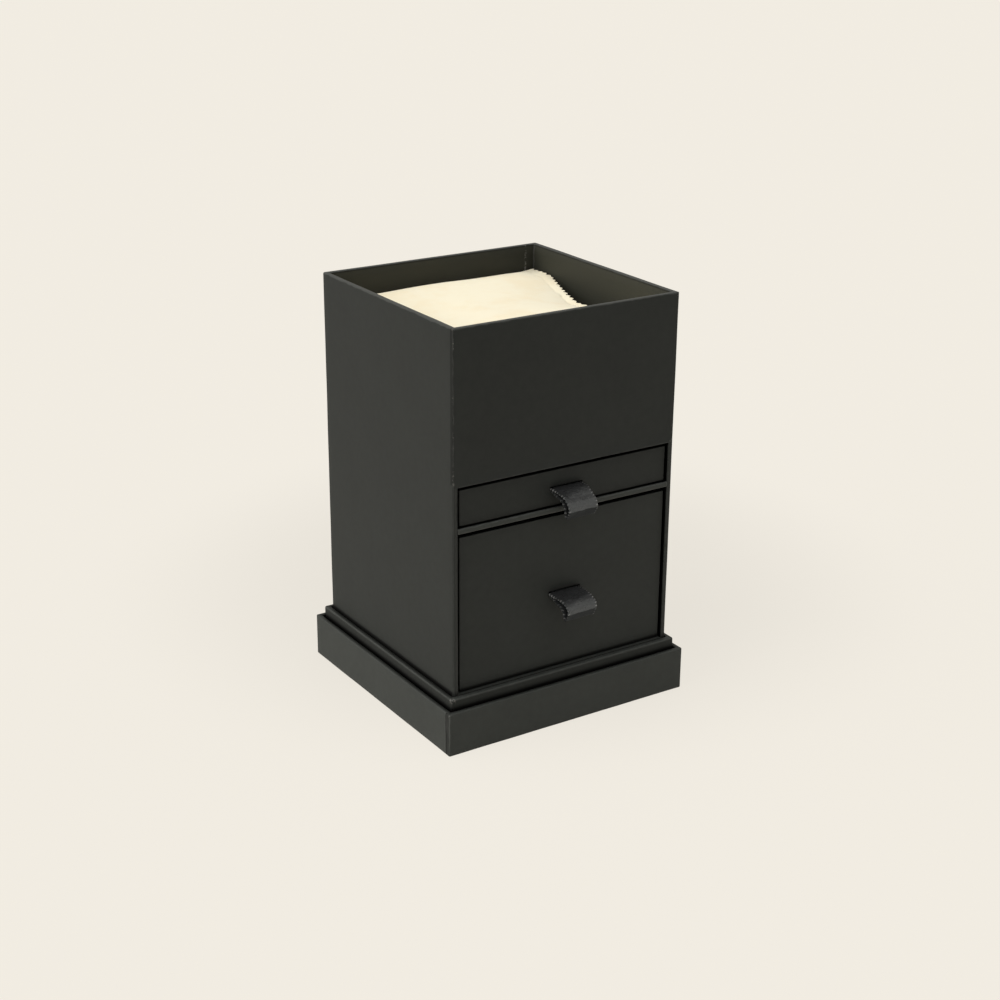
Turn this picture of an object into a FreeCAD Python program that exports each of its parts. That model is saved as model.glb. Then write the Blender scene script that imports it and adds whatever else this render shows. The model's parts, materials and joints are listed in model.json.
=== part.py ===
"""A wrapped-board tower box: a stepped base, a tall case with an open compartment on
top, a cream cushion in it, and two drawers below with ribbon pulls.

Frame: +Z is up, +X is to the right of someone who faces the drawers, and the drawers
open towards -Y. The origin is the middle of the tower's footprint on the table.
Every length is in millimetres.
"""
import FreeCAD, Part
import math
import os

Vector = FreeCAD.Vector

# ---------------------------------------------------------------- driving dimensions
# Sheet and board
paper = 0.2                   # covering paper
tower_board = 1.2             # board of the tower's walls
shelf_board = 1.6             # covered board of the floors and the shelf
neck_board = 1.1              # board of the neck round the tower's foot
tray_board = 1.2              # board of the base tray
drawer_board = 1.2            # board of the drawers

# Base tray and neck
tray_height = 13.4
tray_corner = 0.5             # radius of the wrapped corners
tray_turn_in = 6.0            # paper turned down inside the tray's walls
tray_turn_under = 12.0        # paper turned under the tray
tray_fit = 0.4                # air between the tray's walls and the neck
base_sheet_inset = 2.5        # bare margin round the sheet under the tray
neck_rise = 3.2               # how far the neck stands above the tray
neck_corner = 0.6
neck_turn_in = 5.0
neck_fit = 0.3                # air between the neck and the tower

# Tower
tower_width = 75.0
tower_depth = 73.0
tower_corner = 0.7
rim_edge = 0.2                # rounding of the paper over each rim
lower_bay_height = 48.7
upper_bay_height = 12.0
panel_height = 44.8           # front panel above the drawers
rim_turn_in = 15.0            # paper turned down inside the open top
bay_turn_in = 10.0            # paper turned into the drawer bays

# Drawers
drawer_recess = 1.0           # drawer fronts behind the tower's front
drawer_side_gap = 0.7         # beside a centred drawer
drawer_off_centre = 0.3       # the drawers lie to the right in their bays
drawer_run_gap = 0.3          # air under each drawer
drawer_back_gap = 0.3
upper_top_gap = 1.1
lower_top_gap = 1.4
drawer_corner = 0.5
drawer_turn_in = 6.0
drawer_turn_under = 8.0

# Ribbon pulls
ribbon = 0.4                  # thickness of one layer
ribbon_width = 10.8
pull_off_centre = 0.6         # the slits sit a little to the right of the middle
pull_below_middle = 0.45      # and a little below it
slit_clearance = 0.1          # beside and under the two layers in their slit
slit_headroom = 0.5           # above them, where the ribbon sags away from the slit's edge
pull_shoulder_fall = 0.9      # how far the upper leg falls to its bend
pull_fold_back = 0.8          # the fold hangs this far behind the bend
pull_fold_width = 1.7         # from the outer leg to the inner one, along the fold
pull_fold_rise = 0.6
pull_knee_fall = 2.6          # the lower leg's knee under the slit
pull_bend_radius = 3.8
pull_fold_radius = 0.7
pull_knee_radius = 4.0
pull_throat = 1.6             # the two layers part this far outside the slit
upper_pull_reach = 9.4
upper_pull_drop = 6.4
upper_pull_tail = 4.0         # glued inside the drawer front
lower_pull_reach = 9.8
lower_pull_drop = 5.4
lower_pull_tail = 9.0

# Foam and cushion in the open compartment
cushion_below_rim = 7.8
cushion_thickness = 9.5
cushion_wall_gap = 0.4
cushion_edge = 2.5            # rounding of the cushion's long edges
cushion_end_pull_in = 10.0    # how far the seamed ends draw in at their middle
cover_thickness = 1.0
filling_clearance = 0.2
seam_width = 2.5              # pinked seam allowance outside each end
seam_thickness = 1.2
seam_below_top = 2.0
foam_wall_gap = 0.3

# ---------------------------------------------------------------- worked-out levels
tower_wall = tower_board + 2 * paper
neck_wall = neck_board + 2 * paper
tray_wall = tray_board + 2 * paper
drawer_wall = drawer_board + 2 * paper

tray_floor_bottom = 2 * paper
tray_floor_top = tray_floor_bottom + tray_board
neck_top = tray_height + neck_rise
bay_floor_top = neck_top
bay_floor_bottom = bay_floor_top - shelf_board
shelf_bottom = bay_floor_top + lower_bay_height
shelf_top = shelf_bottom + shelf_board
panel_bottom = shelf_top + upper_bay_height
compartment_floor_bottom = panel_bottom + paper
compartment_floor_top = compartment_floor_bottom + shelf_board
rim = panel_bottom + panel_height
cushion_top = rim - cushion_below_rim
cushion_bottom = cushion_top - cushion_thickness

neck_width = tower_width + 2 * (neck_wall + neck_fit)
neck_depth = tower_depth + 2 * (neck_wall + neck_fit)
tray_width = neck_width + 2 * (tray_wall + tray_fit)
tray_depth = neck_depth + 2 * (tray_wall + tray_fit)

bay_width = tower_width - 2 * tower_wall
tower_front = -tower_depth / 2
tower_inner_back = tower_depth / 2 - tower_wall
OUTSIDE = 1.0                 # how far a cutting block runs past what it cuts

nodes = {}


# ---------------------------------------------------------------- helpers
def block(x0, x1, y0, y1, z0, z1):
    """A box between two corners."""
    return Part.makeBox(x1 - x0, y1 - y0, z1 - z0, Vector(x0, y0, z0))


def centred(width, depth, z0, z1, inset=0.0):
    """A box round the Z axis, drawn in by inset on its four sides."""
    x = width / 2 - inset
    y = depth / 2 - inset
    return block(-x, x, -y, y, z0, z1)


def fillet_upright(shape, radius):
    """Rounds the straight vertical edges of a block."""
    if radius <= 0:
        return shape
    upright = [e for e in shape.Edges if abs(e.BoundBox.XLength) + abs(e.BoundBox.YLength) < 1e-6]
    return shape.makeFillet(radius, upright)


def fillet_level(shape, radius, level):
    """Rounds every edge that lies at one height."""
    flat = [e for e in shape.Edges
            if e.BoundBox.ZLength < 1e-6 and abs(e.BoundBox.ZMin - level) < 1e-6]
    return shape.makeFillet(radius, flat)


def grown(box, inset):
    """The limits of a plan rectangle (x0, x1, y0, y1), drawn in by inset."""
    x0, x1, y0, y1 = box
    return x0 + inset, x1 - inset, y0 + inset, y1 - inset


def covering(box, z0, z1, board, corner, turn_in, turn_under=0.0):
    """The paper over four upright walls: outside, over the rim and down the inside.

    box is the outer rectangle of the covered walls, and z0 to z1 is the paper's height.
    With turn_under the paper also has a margin of that width under the bottom.
    """
    base = z0 + paper if turn_under else z0 - OUTSIDE
    inner = grown(box, paper + board)
    skin = fillet_upright(block(*box, z0, z1), corner)
    skin = skin.cut(block(*grown(inner, paper), base, z1 + OUTSIDE))
    skin = fillet_level(skin, min(rim_edge, corner / 2), z1)
    boards = fillet_upright(block(*grown(box, paper), base, z1 - paper), corner - paper)
    skin = skin.cut(boards.cut(block(*inner, base, z1)))
    skin = skin.cut(block(*inner, base, z1 - turn_in))
    if turn_under:
        skin = skin.cut(block(*grown(box, turn_under), z0 - OUTSIDE, z0 + OUTSIDE))
    return skin


def rounded_outline(points, radii):
    """A closed wire through (y, z) points in the YZ plane, each corner with its radius.

    A radius of 0 leaves the corner sharp.
    """
    corners = []
    count = len(points)
    for i, (y, z) in enumerate(points):
        here = Vector(0, y, z)
        before = (Vector(0, *points[i - 1]) - here).normalize()
        after = (Vector(0, *points[(i + 1) % count]) - here).normalize()
        half = before.getAngle(after) / 2
        if radii[i] <= 0:
            corners.append((here, None, here))
            continue
        reach = radii[i] / math.tan(half)
        bisector = (before + after).normalize()
        middle = here + bisector * (radii[i] / math.sin(half) - radii[i])
        corners.append((here + before * reach, middle, here + after * reach))
    edges = []
    for i, (start, middle, end) in enumerate(corners):
        if middle is not None:
            edges.append(Part.Arc(start, middle, end).toShape())
        following = corners[(i + 1) % count][0]
        if (following - end).Length > 1e-6:
            edges.append(Part.LineSegment(end, following).toShape())
    return Part.Wire(edges)


def one_piece(*shapes):
    """Joins shapes that touch into one solid."""
    joined = shapes[0].fuse(list(shapes[1:])).removeSplitter()
    return joined.Solids[0] if len(joined.Solids) == 1 else joined


# ---------------------------------------------------------------- base tray
def make_tray():
    """The shallow tray under everything, with its covering and bottom sheet."""
    tray = (-tray_width / 2, tray_width / 2, -tray_depth / 2, tray_depth / 2)
    boards = grown(tray, paper)
    x0, x1, y0, y1 = boards
    top = tray_height - paper
    floor = block(*boards, tray_floor_bottom, tray_floor_top)
    nodes["tray_bottom"] = fillet_upright(floor, tray_corner - paper)
    upright = {
        "tray_left": block(x0, x0 + tray_board, y0, y1, tray_floor_top, top),
        "tray_right": block(x1 - tray_board, x1, y0, y1, tray_floor_top, top),
    }
    rounding = fillet_upright(block(*boards, 0, tray_height), tray_corner - paper)
    for name, shape in upright.items():
        nodes[name] = shape.common(rounding)
    inner = (x0 + tray_board, x1 - tray_board)
    nodes["tray_front"] = block(*inner, y0, y0 + tray_board, tray_floor_top, top)
    nodes["tray_back"] = block(*inner, y1 - tray_board, y1, tray_floor_top, top)
    nodes["tray_wrap"] = covering(tray, paper, tray_height, tray_board, tray_corner,
                                  tray_turn_in, tray_turn_under)
    nodes["base_sheet"] = centred(tray_width, tray_depth, 0, paper, base_sheet_inset)


# ---------------------------------------------------------------- neck
def make_neck():
    """The low frame round the tower's foot, which a slip-over cover would fit."""
    neck = (-neck_width / 2, neck_width / 2, -neck_depth / 2, neck_depth / 2)
    boards = grown(neck, paper)
    x0, x1, y0, y1 = boards
    top = neck_top - paper
    rounding = fillet_upright(block(*boards, 0, neck_top), neck_corner - paper)
    sides = {
        "neck_left": block(x0, x0 + neck_board, y0, y1, tray_floor_top, top),
        "neck_right": block(x1 - neck_board, x1, y0, y1, tray_floor_top, top),
    }
    for name, shape in sides.items():
        nodes[name] = shape.common(rounding)
    inner = (x0 + neck_board, x1 - neck_board)
    nodes["neck_front"] = block(*inner, y0, y0 + neck_board, tray_floor_top, top)
    nodes["neck_back"] = block(*inner, y1 - neck_board, y1, tray_floor_top, top)
    nodes["neck_wrap"] = covering(neck, tray_floor_top, neck_top, neck_board,
                                  neck_corner, neck_turn_in)


# ---------------------------------------------------------------- tower
def make_tower():
    """The case's boards: three full walls, the front panel, the sill and the floors."""
    tower = (-tower_width / 2, tower_width / 2, -tower_depth / 2, tower_depth / 2)
    boards = grown(tower, paper)
    x0, x1, y0, y1 = boards
    top = rim - paper
    rounding = fillet_upright(block(*boards, 0, rim), tower_corner - paper)
    sides = {
        "tower_left": block(x0, x0 + tower_board, y0, y1, tray_floor_top, top),
        "tower_right": block(x1 - tower_board, x1, y0, y1, tray_floor_top, top),
    }
    for name, shape in sides.items():
        nodes[name] = shape.common(rounding)
    inner = (x0 + tower_board, x1 - tower_board)
    front = (y0, y0 + tower_board)
    nodes["tower_back"] = block(*inner, y1 - tower_board, y1, tray_floor_top, top)
    nodes["front_panel"] = block(*inner, *front, compartment_floor_bottom, top)
    nodes["front_sill"] = block(*inner, *front, tray_floor_top, bay_floor_bottom)
    back_face = y1 - tower_board
    nodes["compartment_floor"] = block(*inner, front[1], back_face,
                                       compartment_floor_bottom, compartment_floor_top)
    nodes["bay_floor"] = block(*inner, y0, back_face, bay_floor_bottom, bay_floor_top)
    nodes["drawer_shelf"] = block(-bay_width / 2, bay_width / 2, tower_front, back_face,
                                  shelf_bottom, shelf_top)


def make_tower_wrap():
    """The tower's covering, with the drawer opening and its turned-in margins."""
    tower = (-tower_width / 2, tower_width / 2, -tower_depth / 2, tower_depth / 2)
    half = bay_width / 2
    cover = covering(tower, tray_floor_top, rim, tower_board, tower_corner, rim_turn_in)
    cover = cover.cut(block(-half, half, tower_front - OUTSIDE, tower_front + tower_wall,
                            bay_floor_top, panel_bottom))
    margins = [block(side * half + min(0, side * paper), side * half + max(0, side * paper),
                     tower_front, tower_front + bay_turn_in, bay_floor_top, panel_bottom)
               for side in (-1, 1)]
    panel_edge = block(-half - paper, half + paper, tower_front, tower_front + paper + tower_board,
                       panel_bottom, compartment_floor_bottom)
    nodes["tower_wrap"] = one_piece(cover, *margins, panel_edge)


def make_lining():
    """The paper lining of the open compartment, under the turned-in rim."""
    outer = centred(tower_width, tower_depth, compartment_floor_top, rim - rim_turn_in,
                    paper + tower_board)
    inner = centred(tower_width, tower_depth, compartment_floor_top, rim, tower_wall)
    nodes["compartment_lining"] = outer.cut(inner)


# ---------------------------------------------------------------- drawers
def drooping_loop(reach, drop):
    """The loop's corners seen from the side: (outwards, upwards) from the slit's middle."""
    return [
        (0.0, ribbon),
        (reach, ribbon - pull_shoulder_fall),
        (reach - pull_fold_back, -drop),
        (reach - pull_fold_back - pull_fold_width, pull_fold_rise - drop),
        (reach / 2, -pull_knee_fall),
        (0.0, -ribbon),
    ]


def shifted_side(start, end, distance):
    """A side of an outline that runs clockwise, moved towards the outline's inside."""
    along = Vector(*end) - Vector(*start)
    aside = Vector(along.y, -along.x).normalize() * distance
    return Vector(*start) + aside, along


def crossing(first, second):
    """Where two sides (a point and a direction each) cross."""
    (p, u), (q, v) = first, second
    share = ((q.x - p.x) * v.y - (q.y - p.y) * v.x) / (u.x * v.y - u.y * v.x)
    return p.x + share * u.x, p.y + share * u.y


def inside_loop(corners):
    """The space between the loop's two legs, one layer in from its outline."""
    sides = [shifted_side(start, end, ribbon) for start, end in zip(corners, corners[1:])]
    throat = (Vector(pull_throat, 0), Vector(0, 1))
    return ([crossing(throat, sides[0])]
            + [crossing(one, other) for one, other in zip(sides, sides[1:])]
            + [crossing(sides[-1], throat)])


def make_pull(face_y, slit_z, reach, drop, tail):
    """A ribbon folded in half: a drooping loop, two layers in the slit, a glued tail."""
    loop = drooping_loop(reach, drop)
    deep = drawer_wall + ribbon
    outline = [(-deep, tail), (-drawer_wall, tail), (-drawer_wall, ribbon), *loop, (-deep, -ribbon)]
    bends = [pull_bend_radius, pull_fold_radius, pull_fold_radius]
    inner_bends = [radius - ribbon for radius in bends]
    bends.append(pull_knee_radius)
    inner_bends.append(pull_knee_radius + ribbon)
    rounded = [(outline, [0, 0, 0, 0, *bends, 0, 0]), (inside_loop(loop), [0, *inner_bends, 0])]
    solids = []
    for points, radii in rounded:
        placed = [(face_y - out, slit_z + up) for out, up in points]
        face = Part.Face(rounded_outline(placed, radii))
        solids.append(face.extrude(Vector(ribbon_width, 0, 0)))
    pull = solids[0].cut(solids[1])
    pull.translate(Vector(pull_off_centre - ribbon_width / 2, 0, 0))
    return pull


def make_drawer(name, floor_z, top_z, reach, drop, tail):
    """Five boards, their covering and the ribbon pull of one drawer."""
    half = bay_width / 2 - drawer_side_gap
    front = tower_front + drawer_recess
    drawer = (drawer_off_centre - half, drawer_off_centre + half,
              front, tower_inner_back - drawer_back_gap)
    boards = grown(drawer, paper)
    x0, x1, y0, y1 = boards
    low = floor_z + paper + drawer_board
    top = top_z - paper
    slit_z = (floor_z + top_z) / 2 - pull_below_middle
    slit_half = ribbon_width / 2 + slit_clearance
    slit = block(pull_off_centre - slit_half, pull_off_centre + slit_half,
                 front - OUTSIDE, front + drawer_wall + OUTSIDE,
                 slit_z - ribbon - slit_clearance, slit_z + ribbon + slit_headroom)
    rounding = fillet_upright(block(*boards, floor_z, top_z), drawer_corner - paper)
    ends = {
        "front": block(x0, x1, y0, y0 + drawer_board, low, top).cut(slit),
        "back": block(x0, x1, y1 - drawer_board, y1, low, top),
        "bottom": block(*boards, floor_z + paper, low),
    }
    for part, shape in ends.items():
        nodes[name + "_" + part] = shape.common(rounding)
    between = (y0 + drawer_board, y1 - drawer_board)
    nodes[name + "_left"] = block(x0, x0 + drawer_board, *between, low, top)
    nodes[name + "_right"] = block(x1 - drawer_board, x1, *between, low, top)
    cover = covering(drawer, floor_z, top_z, drawer_board, drawer_corner,
                     drawer_turn_in, drawer_turn_under)
    nodes[name + "_wrap"] = cover.cut(slit)
    nodes[name + "_pull"] = make_pull(front, slit_z, reach, drop, tail)


# ---------------------------------------------------------------- foam and cushion
def end_arc_outline(x_corner, y_half, pull_in, z):
    """A plan outline with straight front and back, and ends that draw in."""
    x_middle = x_corner - pull_in
    corners = [Vector(x_corner, -y_half, z), Vector(x_corner, y_half, z),
               Vector(-x_corner, y_half, z), Vector(-x_corner, -y_half, z)]
    return Part.Wire([
        Part.Arc(corners[0], Vector(x_middle, 0, z), corners[1]).toShape(),
        Part.LineSegment(corners[1], corners[2]).toShape(),
        Part.Arc(corners[2], Vector(-x_middle, 0, z), corners[3]).toShape(),
        Part.LineSegment(corners[3], corners[0]).toShape(),
    ])


def pillow(inset):
    """The cushion's body, drawn in on every side by inset."""
    x_corner = bay_width / 2 - cushion_wall_gap - inset
    y_half = tower_depth / 2 - tower_wall - cushion_wall_gap - inset
    pull_in = cushion_end_pull_in + seam_width
    outline = end_arc_outline(x_corner, y_half, pull_in, cushion_bottom + inset)
    body = Part.Face(outline).extrude(Vector(0, 0, cushion_thickness - 2 * inset))
    radius = cushion_edge - inset
    long_edges = [e for e in body.Edges
                  if e.BoundBox.XLength > x_corner and e.BoundBox.YLength < 1e-6]
    return body.makeFillet(radius, long_edges)


def make_cushion():
    """The cushion's sewn cover, its filling, and the foam that carries it."""
    inside = pillow(cover_thickness)
    cover = pillow(0).cut(inside)
    x_corner = bay_width / 2 - cushion_wall_gap
    y_half = tower_depth / 2 - tower_wall - cushion_wall_gap
    level = cushion_top - seam_below_top - seam_thickness
    allowance = Part.Face(end_arc_outline(x_corner, y_half, cushion_end_pull_in, level))
    seam = allowance.extrude(Vector(0, 0, seam_thickness)).cut(inside)
    nodes["cushion_cover"] = one_piece(cover, seam)
    nodes["cushion_filling"] = pillow(cover_thickness + filling_clearance)
    nodes["foam_riser"] = centred(tower_width, tower_depth, compartment_floor_top,
                                  cushion_bottom, tower_wall + foam_wall_gap)


make_tray()
make_neck()
make_tower()
make_tower_wrap()
make_lining()
make_drawer("lower_drawer", bay_floor_top + drawer_run_gap, shelf_bottom - lower_top_gap,
            lower_pull_reach, lower_pull_drop, lower_pull_tail)
make_drawer("upper_drawer", shelf_top + drawer_run_gap, panel_bottom - upper_top_gap,
            upper_pull_reach, upper_pull_drop, upper_pull_tail)
make_cushion()

os.makedirs("parts", exist_ok=True)
for name, shape in nodes.items():
    shape.exportStep("parts/" + name + ".step")
    print(name, "solids", len(shape.Solids), "valid", shape.isValid(), "volume", round(shape.Volume, 2))
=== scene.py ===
# %% [markdown]
# # A wrapped-board tower box with two drawers
# The real box is a set of thin grey boards glued into trays and tubes, with black paper
# drawn tight over them. This lesson dresses a finished model of the boards: the frame is
# loaded first, and every piece made here sits on it in the same metres.

# %% Load the frame
import json
import math
import bmesh
import bpy
from mathutils import Matrix, Vector, noise
from mathutils.bvhtree import BVHTree


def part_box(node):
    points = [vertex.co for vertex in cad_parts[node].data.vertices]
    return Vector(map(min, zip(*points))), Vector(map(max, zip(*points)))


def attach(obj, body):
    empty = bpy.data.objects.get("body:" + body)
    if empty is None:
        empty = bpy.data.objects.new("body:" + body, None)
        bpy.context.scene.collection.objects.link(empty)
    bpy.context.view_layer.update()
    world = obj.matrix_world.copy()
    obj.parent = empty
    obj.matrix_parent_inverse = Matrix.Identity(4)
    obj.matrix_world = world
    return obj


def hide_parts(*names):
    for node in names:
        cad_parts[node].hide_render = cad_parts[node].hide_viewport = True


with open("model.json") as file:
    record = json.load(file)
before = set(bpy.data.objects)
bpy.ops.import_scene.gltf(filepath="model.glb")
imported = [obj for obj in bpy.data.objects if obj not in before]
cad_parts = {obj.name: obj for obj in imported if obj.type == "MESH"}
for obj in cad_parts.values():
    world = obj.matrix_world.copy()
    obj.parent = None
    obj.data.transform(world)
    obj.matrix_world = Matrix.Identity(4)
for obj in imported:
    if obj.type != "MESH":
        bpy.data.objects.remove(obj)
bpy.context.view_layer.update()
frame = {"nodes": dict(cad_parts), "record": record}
MM = 0.001

# %% [markdown]
# ## Camera
# The box is seen from above its front left corner. A camera that stands close makes the
# uprights lean together a little; the long lens keeps that gentle. The place, the turn to
# the right, the tilt down and the small roll each have a name, so one can be changed alone.

# %% Camera
CAMERA_PLACE = Vector((-0.2766, -0.4292, 0.2516))
CAMERA_TURN = math.radians(32.92)
CAMERA_TILT = math.radians(20.90)
CAMERA_ROLL = math.radians(0.3645)
CAMERA_LENS = 65.50
FILM_WIDTH = 36
NEAREST_SEEN = 0.01


def place_object(name, data):
    """A new object in the scene."""
    made = bpy.data.objects.new(name, data)
    bpy.context.scene.collection.objects.link(made)
    return made


camera = place_object("camera", bpy.data.cameras.new("camera"))
camera.data.lens = CAMERA_LENS
camera.data.sensor_width = FILM_WIDTH
camera.data.clip_start = NEAREST_SEEN
camera.matrix_world = (Matrix.Translation(CAMERA_PLACE)
                       @ Matrix.Rotation(-CAMERA_TURN, 4, "Z")
                       @ Matrix.Rotation(math.pi / 2 - CAMERA_TILT, 4, "X")
                       @ Matrix.Rotation(CAMERA_ROLL, 4, "Z"))
bpy.context.scene.camera = camera
bpy.context.scene.view_settings.view_transform = "Standard"
print("camera:", round(CAMERA_PLACE.length, 3), "m from the origin")

# %% [markdown]
# ## Node helpers
# A shader is a small network. These helpers keep its lines short: `add` makes a node and
# feeds its sockets with numbers or with other sockets, `calculate` and `vectors` make Math
# and Vector Math nodes, `remap` moves a value into another range, and `new_material` starts
# a material with its Principled shader.

# %% Node helpers
def feed(tree, socket, value):
    """Links a socket to another one, or sets it to a plain value."""
    if isinstance(value, bpy.types.NodeSocket):
        tree.links.new(value, socket)
    else:
        socket.default_value = value


def add(tree, kind, inputs=None, **settings):
    """A new node with its settings and inputs."""
    node = tree.nodes.new(kind)
    for name, value in settings.items():
        setattr(node, name, value)
    for name, value in (inputs or {}).items():
        feed(tree, node.inputs[name], value)
    return node


def calculate(tree, operation, *values):
    """The output of a Math node."""
    return add(tree, "ShaderNodeMath", dict(enumerate(values)), operation=operation).outputs[0]


def times(tree, first, second):
    """Two values multiplied."""
    return calculate(tree, "MULTIPLY", first, second)


def weigh(tree, parts, shares):
    """The sum of some values, each times its share."""
    weighed = [times(tree, part, share) for part, share in zip(parts, shares)]
    total = weighed[0]
    for part in weighed[1:]:
        total = calculate(tree, "ADD", total, part)
    return total


def vectors(tree, operation, *values):
    """The output of a Vector Math node."""
    node = add(tree, "ShaderNodeVectorMath", dict(enumerate(values)), operation=operation)
    return node.outputs["Value" if operation in ("LENGTH", "DISTANCE") else "Vector"]


def remap(tree, value, low, high, to_low=0.0, to_high=1.0, smooth=True):
    """A value moved from one range to another, and kept inside it."""
    node = add(tree, "ShaderNodeMapRange", {"Value": value, "From Min": low, "From Max": high,
                                            "To Min": to_low, "To Max": to_high},
               interpolation_type="SMOOTHSTEP" if smooth else "LINEAR")
    return node.outputs["Result"]


def mix_colour(tree, share, first, second):
    """Two colours mixed by a share."""
    node = tree.nodes.new("ShaderNodeMix")
    node.data_type = "RGBA"
    feed(tree, node.inputs["Factor"], share)
    feed(tree, node.inputs[6], first)
    feed(tree, node.inputs[7], second)
    return node.outputs[2]


def mix_shaders(tree, share, first, second, output):
    """Sends two shaders, mixed by a share, to an output node."""
    both = add(tree, "ShaderNodeMixShader", {0: share, 1: first.outputs[0],
                                             2: second.outputs[0]})
    tree.links.new(both.outputs[0], tree.nodes[output].inputs["Surface"])


def new_material(name, **shader):
    """A material, its node tree and its Principled shader with plain socket values."""
    material = bpy.data.materials.new(name)
    material.use_nodes = True
    tree = material.node_tree
    principled = tree.nodes["Principled BSDF"]
    for socket, value in shader.items():
        principled.inputs[socket.replace("_", " ")].default_value = value
    return material, tree, principled


def roughen(tree, principled, height, strength, depth):
    """Lets a height pattern stand out of the surface by a depth in millimetres."""
    bump = add(tree, "ShaderNodeBump", {"Height": height, "Strength": strength,
                                        "Distance": depth * MM})
    tree.links.new(bump.outputs["Normal"], principled.inputs["Normal"])


def tinted(level, tint=(1, 1, 1)):
    """A grey of the given level with a slight tint, as a colour with alpha."""
    return (*(level * part for part in tint), 1)


def mottled(tree, pattern, swing, tone, tint, least, most):
    """A tone taken least to most times, as a pattern swings to and fro about a half."""
    share = remap(tree, pattern, 0.5 - swing, 0.5 + swing, smooth=False)
    return mix_colour(tree, share, tinted(tone * least, tint), tinted(tone * most, tint))


print("node helpers ready")

# %% [markdown]
# ## Floor and light
# The box stands on a pale seamless sheet. To the camera the sheet is nearly its own colour
# everywhere, with a share of real shading that keeps the shadow, and a wide soft shadow
# painted on it behind the box. The light is soft: a bright zone overhead, dim sides, and one
# broad lamp at the left, so the left wall is the lightest. Much of what reaches the front
# comes up from the floor.

# %% Floor
PALE = (0.880, 0.838, 0.760, 1)
BLACK = (0, 0, 0, 1)
FLOOR_HALF = 12.0
FLOOR_SHADING = 0.07          # share of real shading in what the camera sees
LIT_RADIUS = 0.16             # the floor near the box bounces most light
DIM_RADIUS = 0.75
DIM_BOUNCE = 0.30
SHADE_MIDDLE = (0.045, 0.060, 0)  # a wide soft shadow is painted on the floor behind the box
SHADE_CORE = 0.055
SHADE_EDGE = 0.150
SHADE_LEVEL = 0.915


def place_mesh(name, bm):
    """A bmesh as an object in the scene."""
    mesh = bpy.data.meshes.new(name)
    bm.to_mesh(mesh)
    bm.free()
    return place_object(name, mesh)


def background_share(tree):
    """1 for rays that should see the plain pale background."""
    path = tree.nodes.new("ShaderNodeLightPath")
    seen = calculate(tree, "MAXIMUM", path.outputs["Is Camera Ray"], path.outputs["Is Glossy Ray"])
    return calculate(tree, "MAXIMUM", seen, path.outputs["Is Transmission Ray"])


def make_floor():
    bm = bmesh.new()
    bmesh.ops.create_grid(bm, x_segments=1, y_segments=1, size=FLOOR_HALF)
    floor = place_mesh("floor", bm)
    material, tree, principled = new_material("pale_sheet", Roughness=1.0,
                                              Specular_IOR_Level=0.0)
    place = add(tree, "ShaderNodeTexCoord").outputs["Object"]
    bounce = remap(tree, vectors(tree, "LENGTH", place), LIT_RADIUS, DIM_RADIUS, 1.0, DIM_BOUNCE)
    seen = background_share(tree)
    level = calculate(tree, "MAXIMUM", bounce, seen)
    feed(tree, principled.inputs["Base Color"], mix_colour(tree, level, BLACK, PALE))
    # painted shadow: the pale colour the camera sees is dimmed in a soft patch behind the box
    from_shade = vectors(tree, "DISTANCE", place, SHADE_MIDDLE)
    painted_shadow = remap(tree, from_shade, SHADE_CORE, SHADE_EDGE, SHADE_LEVEL, 1.0)
    plain = add(tree, "ShaderNodeEmission", {"Color": PALE, "Strength": painted_shadow})
    mix_shaders(tree, times(tree, seen, 1 - FLOOR_SHADING), principled, plain, "Material Output")
    floor.data.materials.append(material)


make_floor()
print("floor", 2 * FLOOR_HALF, "m wide")

# %% Sky and lamp
SKY_COLOUR = (1, 0.985, 0.955, 1)
SKY_LOW = 0.16                # strength at the sides
SKY_HIGH = 1.28               # and overhead
SKY_CLIMB = (0.45, 0.85)      # the heights between which it brightens
LAMP_COLOUR = (1, 0.985, 0.95)
LAMP_STRENGTH = 1.60
LAMP_SOFTNESS = math.radians(55)
LAMP_FROM = Vector((-0.86, 0.14, 0.48))


def make_sky():
    world = bpy.data.worlds.new("studio")
    world.use_nodes = True
    tree = world.node_tree
    direction = add(tree, "ShaderNodeTexCoord").outputs["Generated"]
    height = add(tree, "ShaderNodeSeparateXYZ", {0: direction}).outputs["Z"]
    light = tree.nodes["Background"]
    light.inputs["Color"].default_value = SKY_COLOUR
    feed(tree, light.inputs["Strength"], remap(tree, height, *SKY_CLIMB, SKY_LOW, SKY_HIGH))
    plain = add(tree, "ShaderNodeBackground", {"Color": PALE, "Strength": 1.0})
    mix_shaders(tree, background_share(tree), light, plain, "World Output")
    bpy.context.scene.world = world


def make_lamp():
    lamp = place_object("left_lamp", bpy.data.lights.new("left_lamp", "SUN"))
    lamp.data.energy = LAMP_STRENGTH
    lamp.data.angle = LAMP_SOFTNESS
    lamp.data.color = LAMP_COLOUR
    lamp.matrix_world = LAMP_FROM.to_track_quat("Z", "Y").to_matrix().to_4x4()


make_sky()
make_lamp()
print("sky and one lamp")

# %% [markdown]
# ## Effects shared by the papers
# Five node groups are built once and placed in several materials. `paper_grain` is the
# felted surface of a dyed paper. `box_edges` finds how near a point is to the edge of a
# box, which is where paper scuffs and where a painted highlight goes. `scuffs` breaks that
# line into worn dashes, and `dust` scatters a few pale specks. `crook` finds how near a point
# is to a box from outside. It places the painted shade beside a taller wall, and also the
# other marks near a box. All of them measure in millimetres on the piece itself.

# %% Grain
GRAIN_SHARES = (0.30, 0.40, 0.30)   # fibres, clouds and wide clouds in the tone
GRAIN_HEIGHTS = (0.6, 0.8)          # fibres and clouds in the height
WIDE_CLOUD = 14.0


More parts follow.
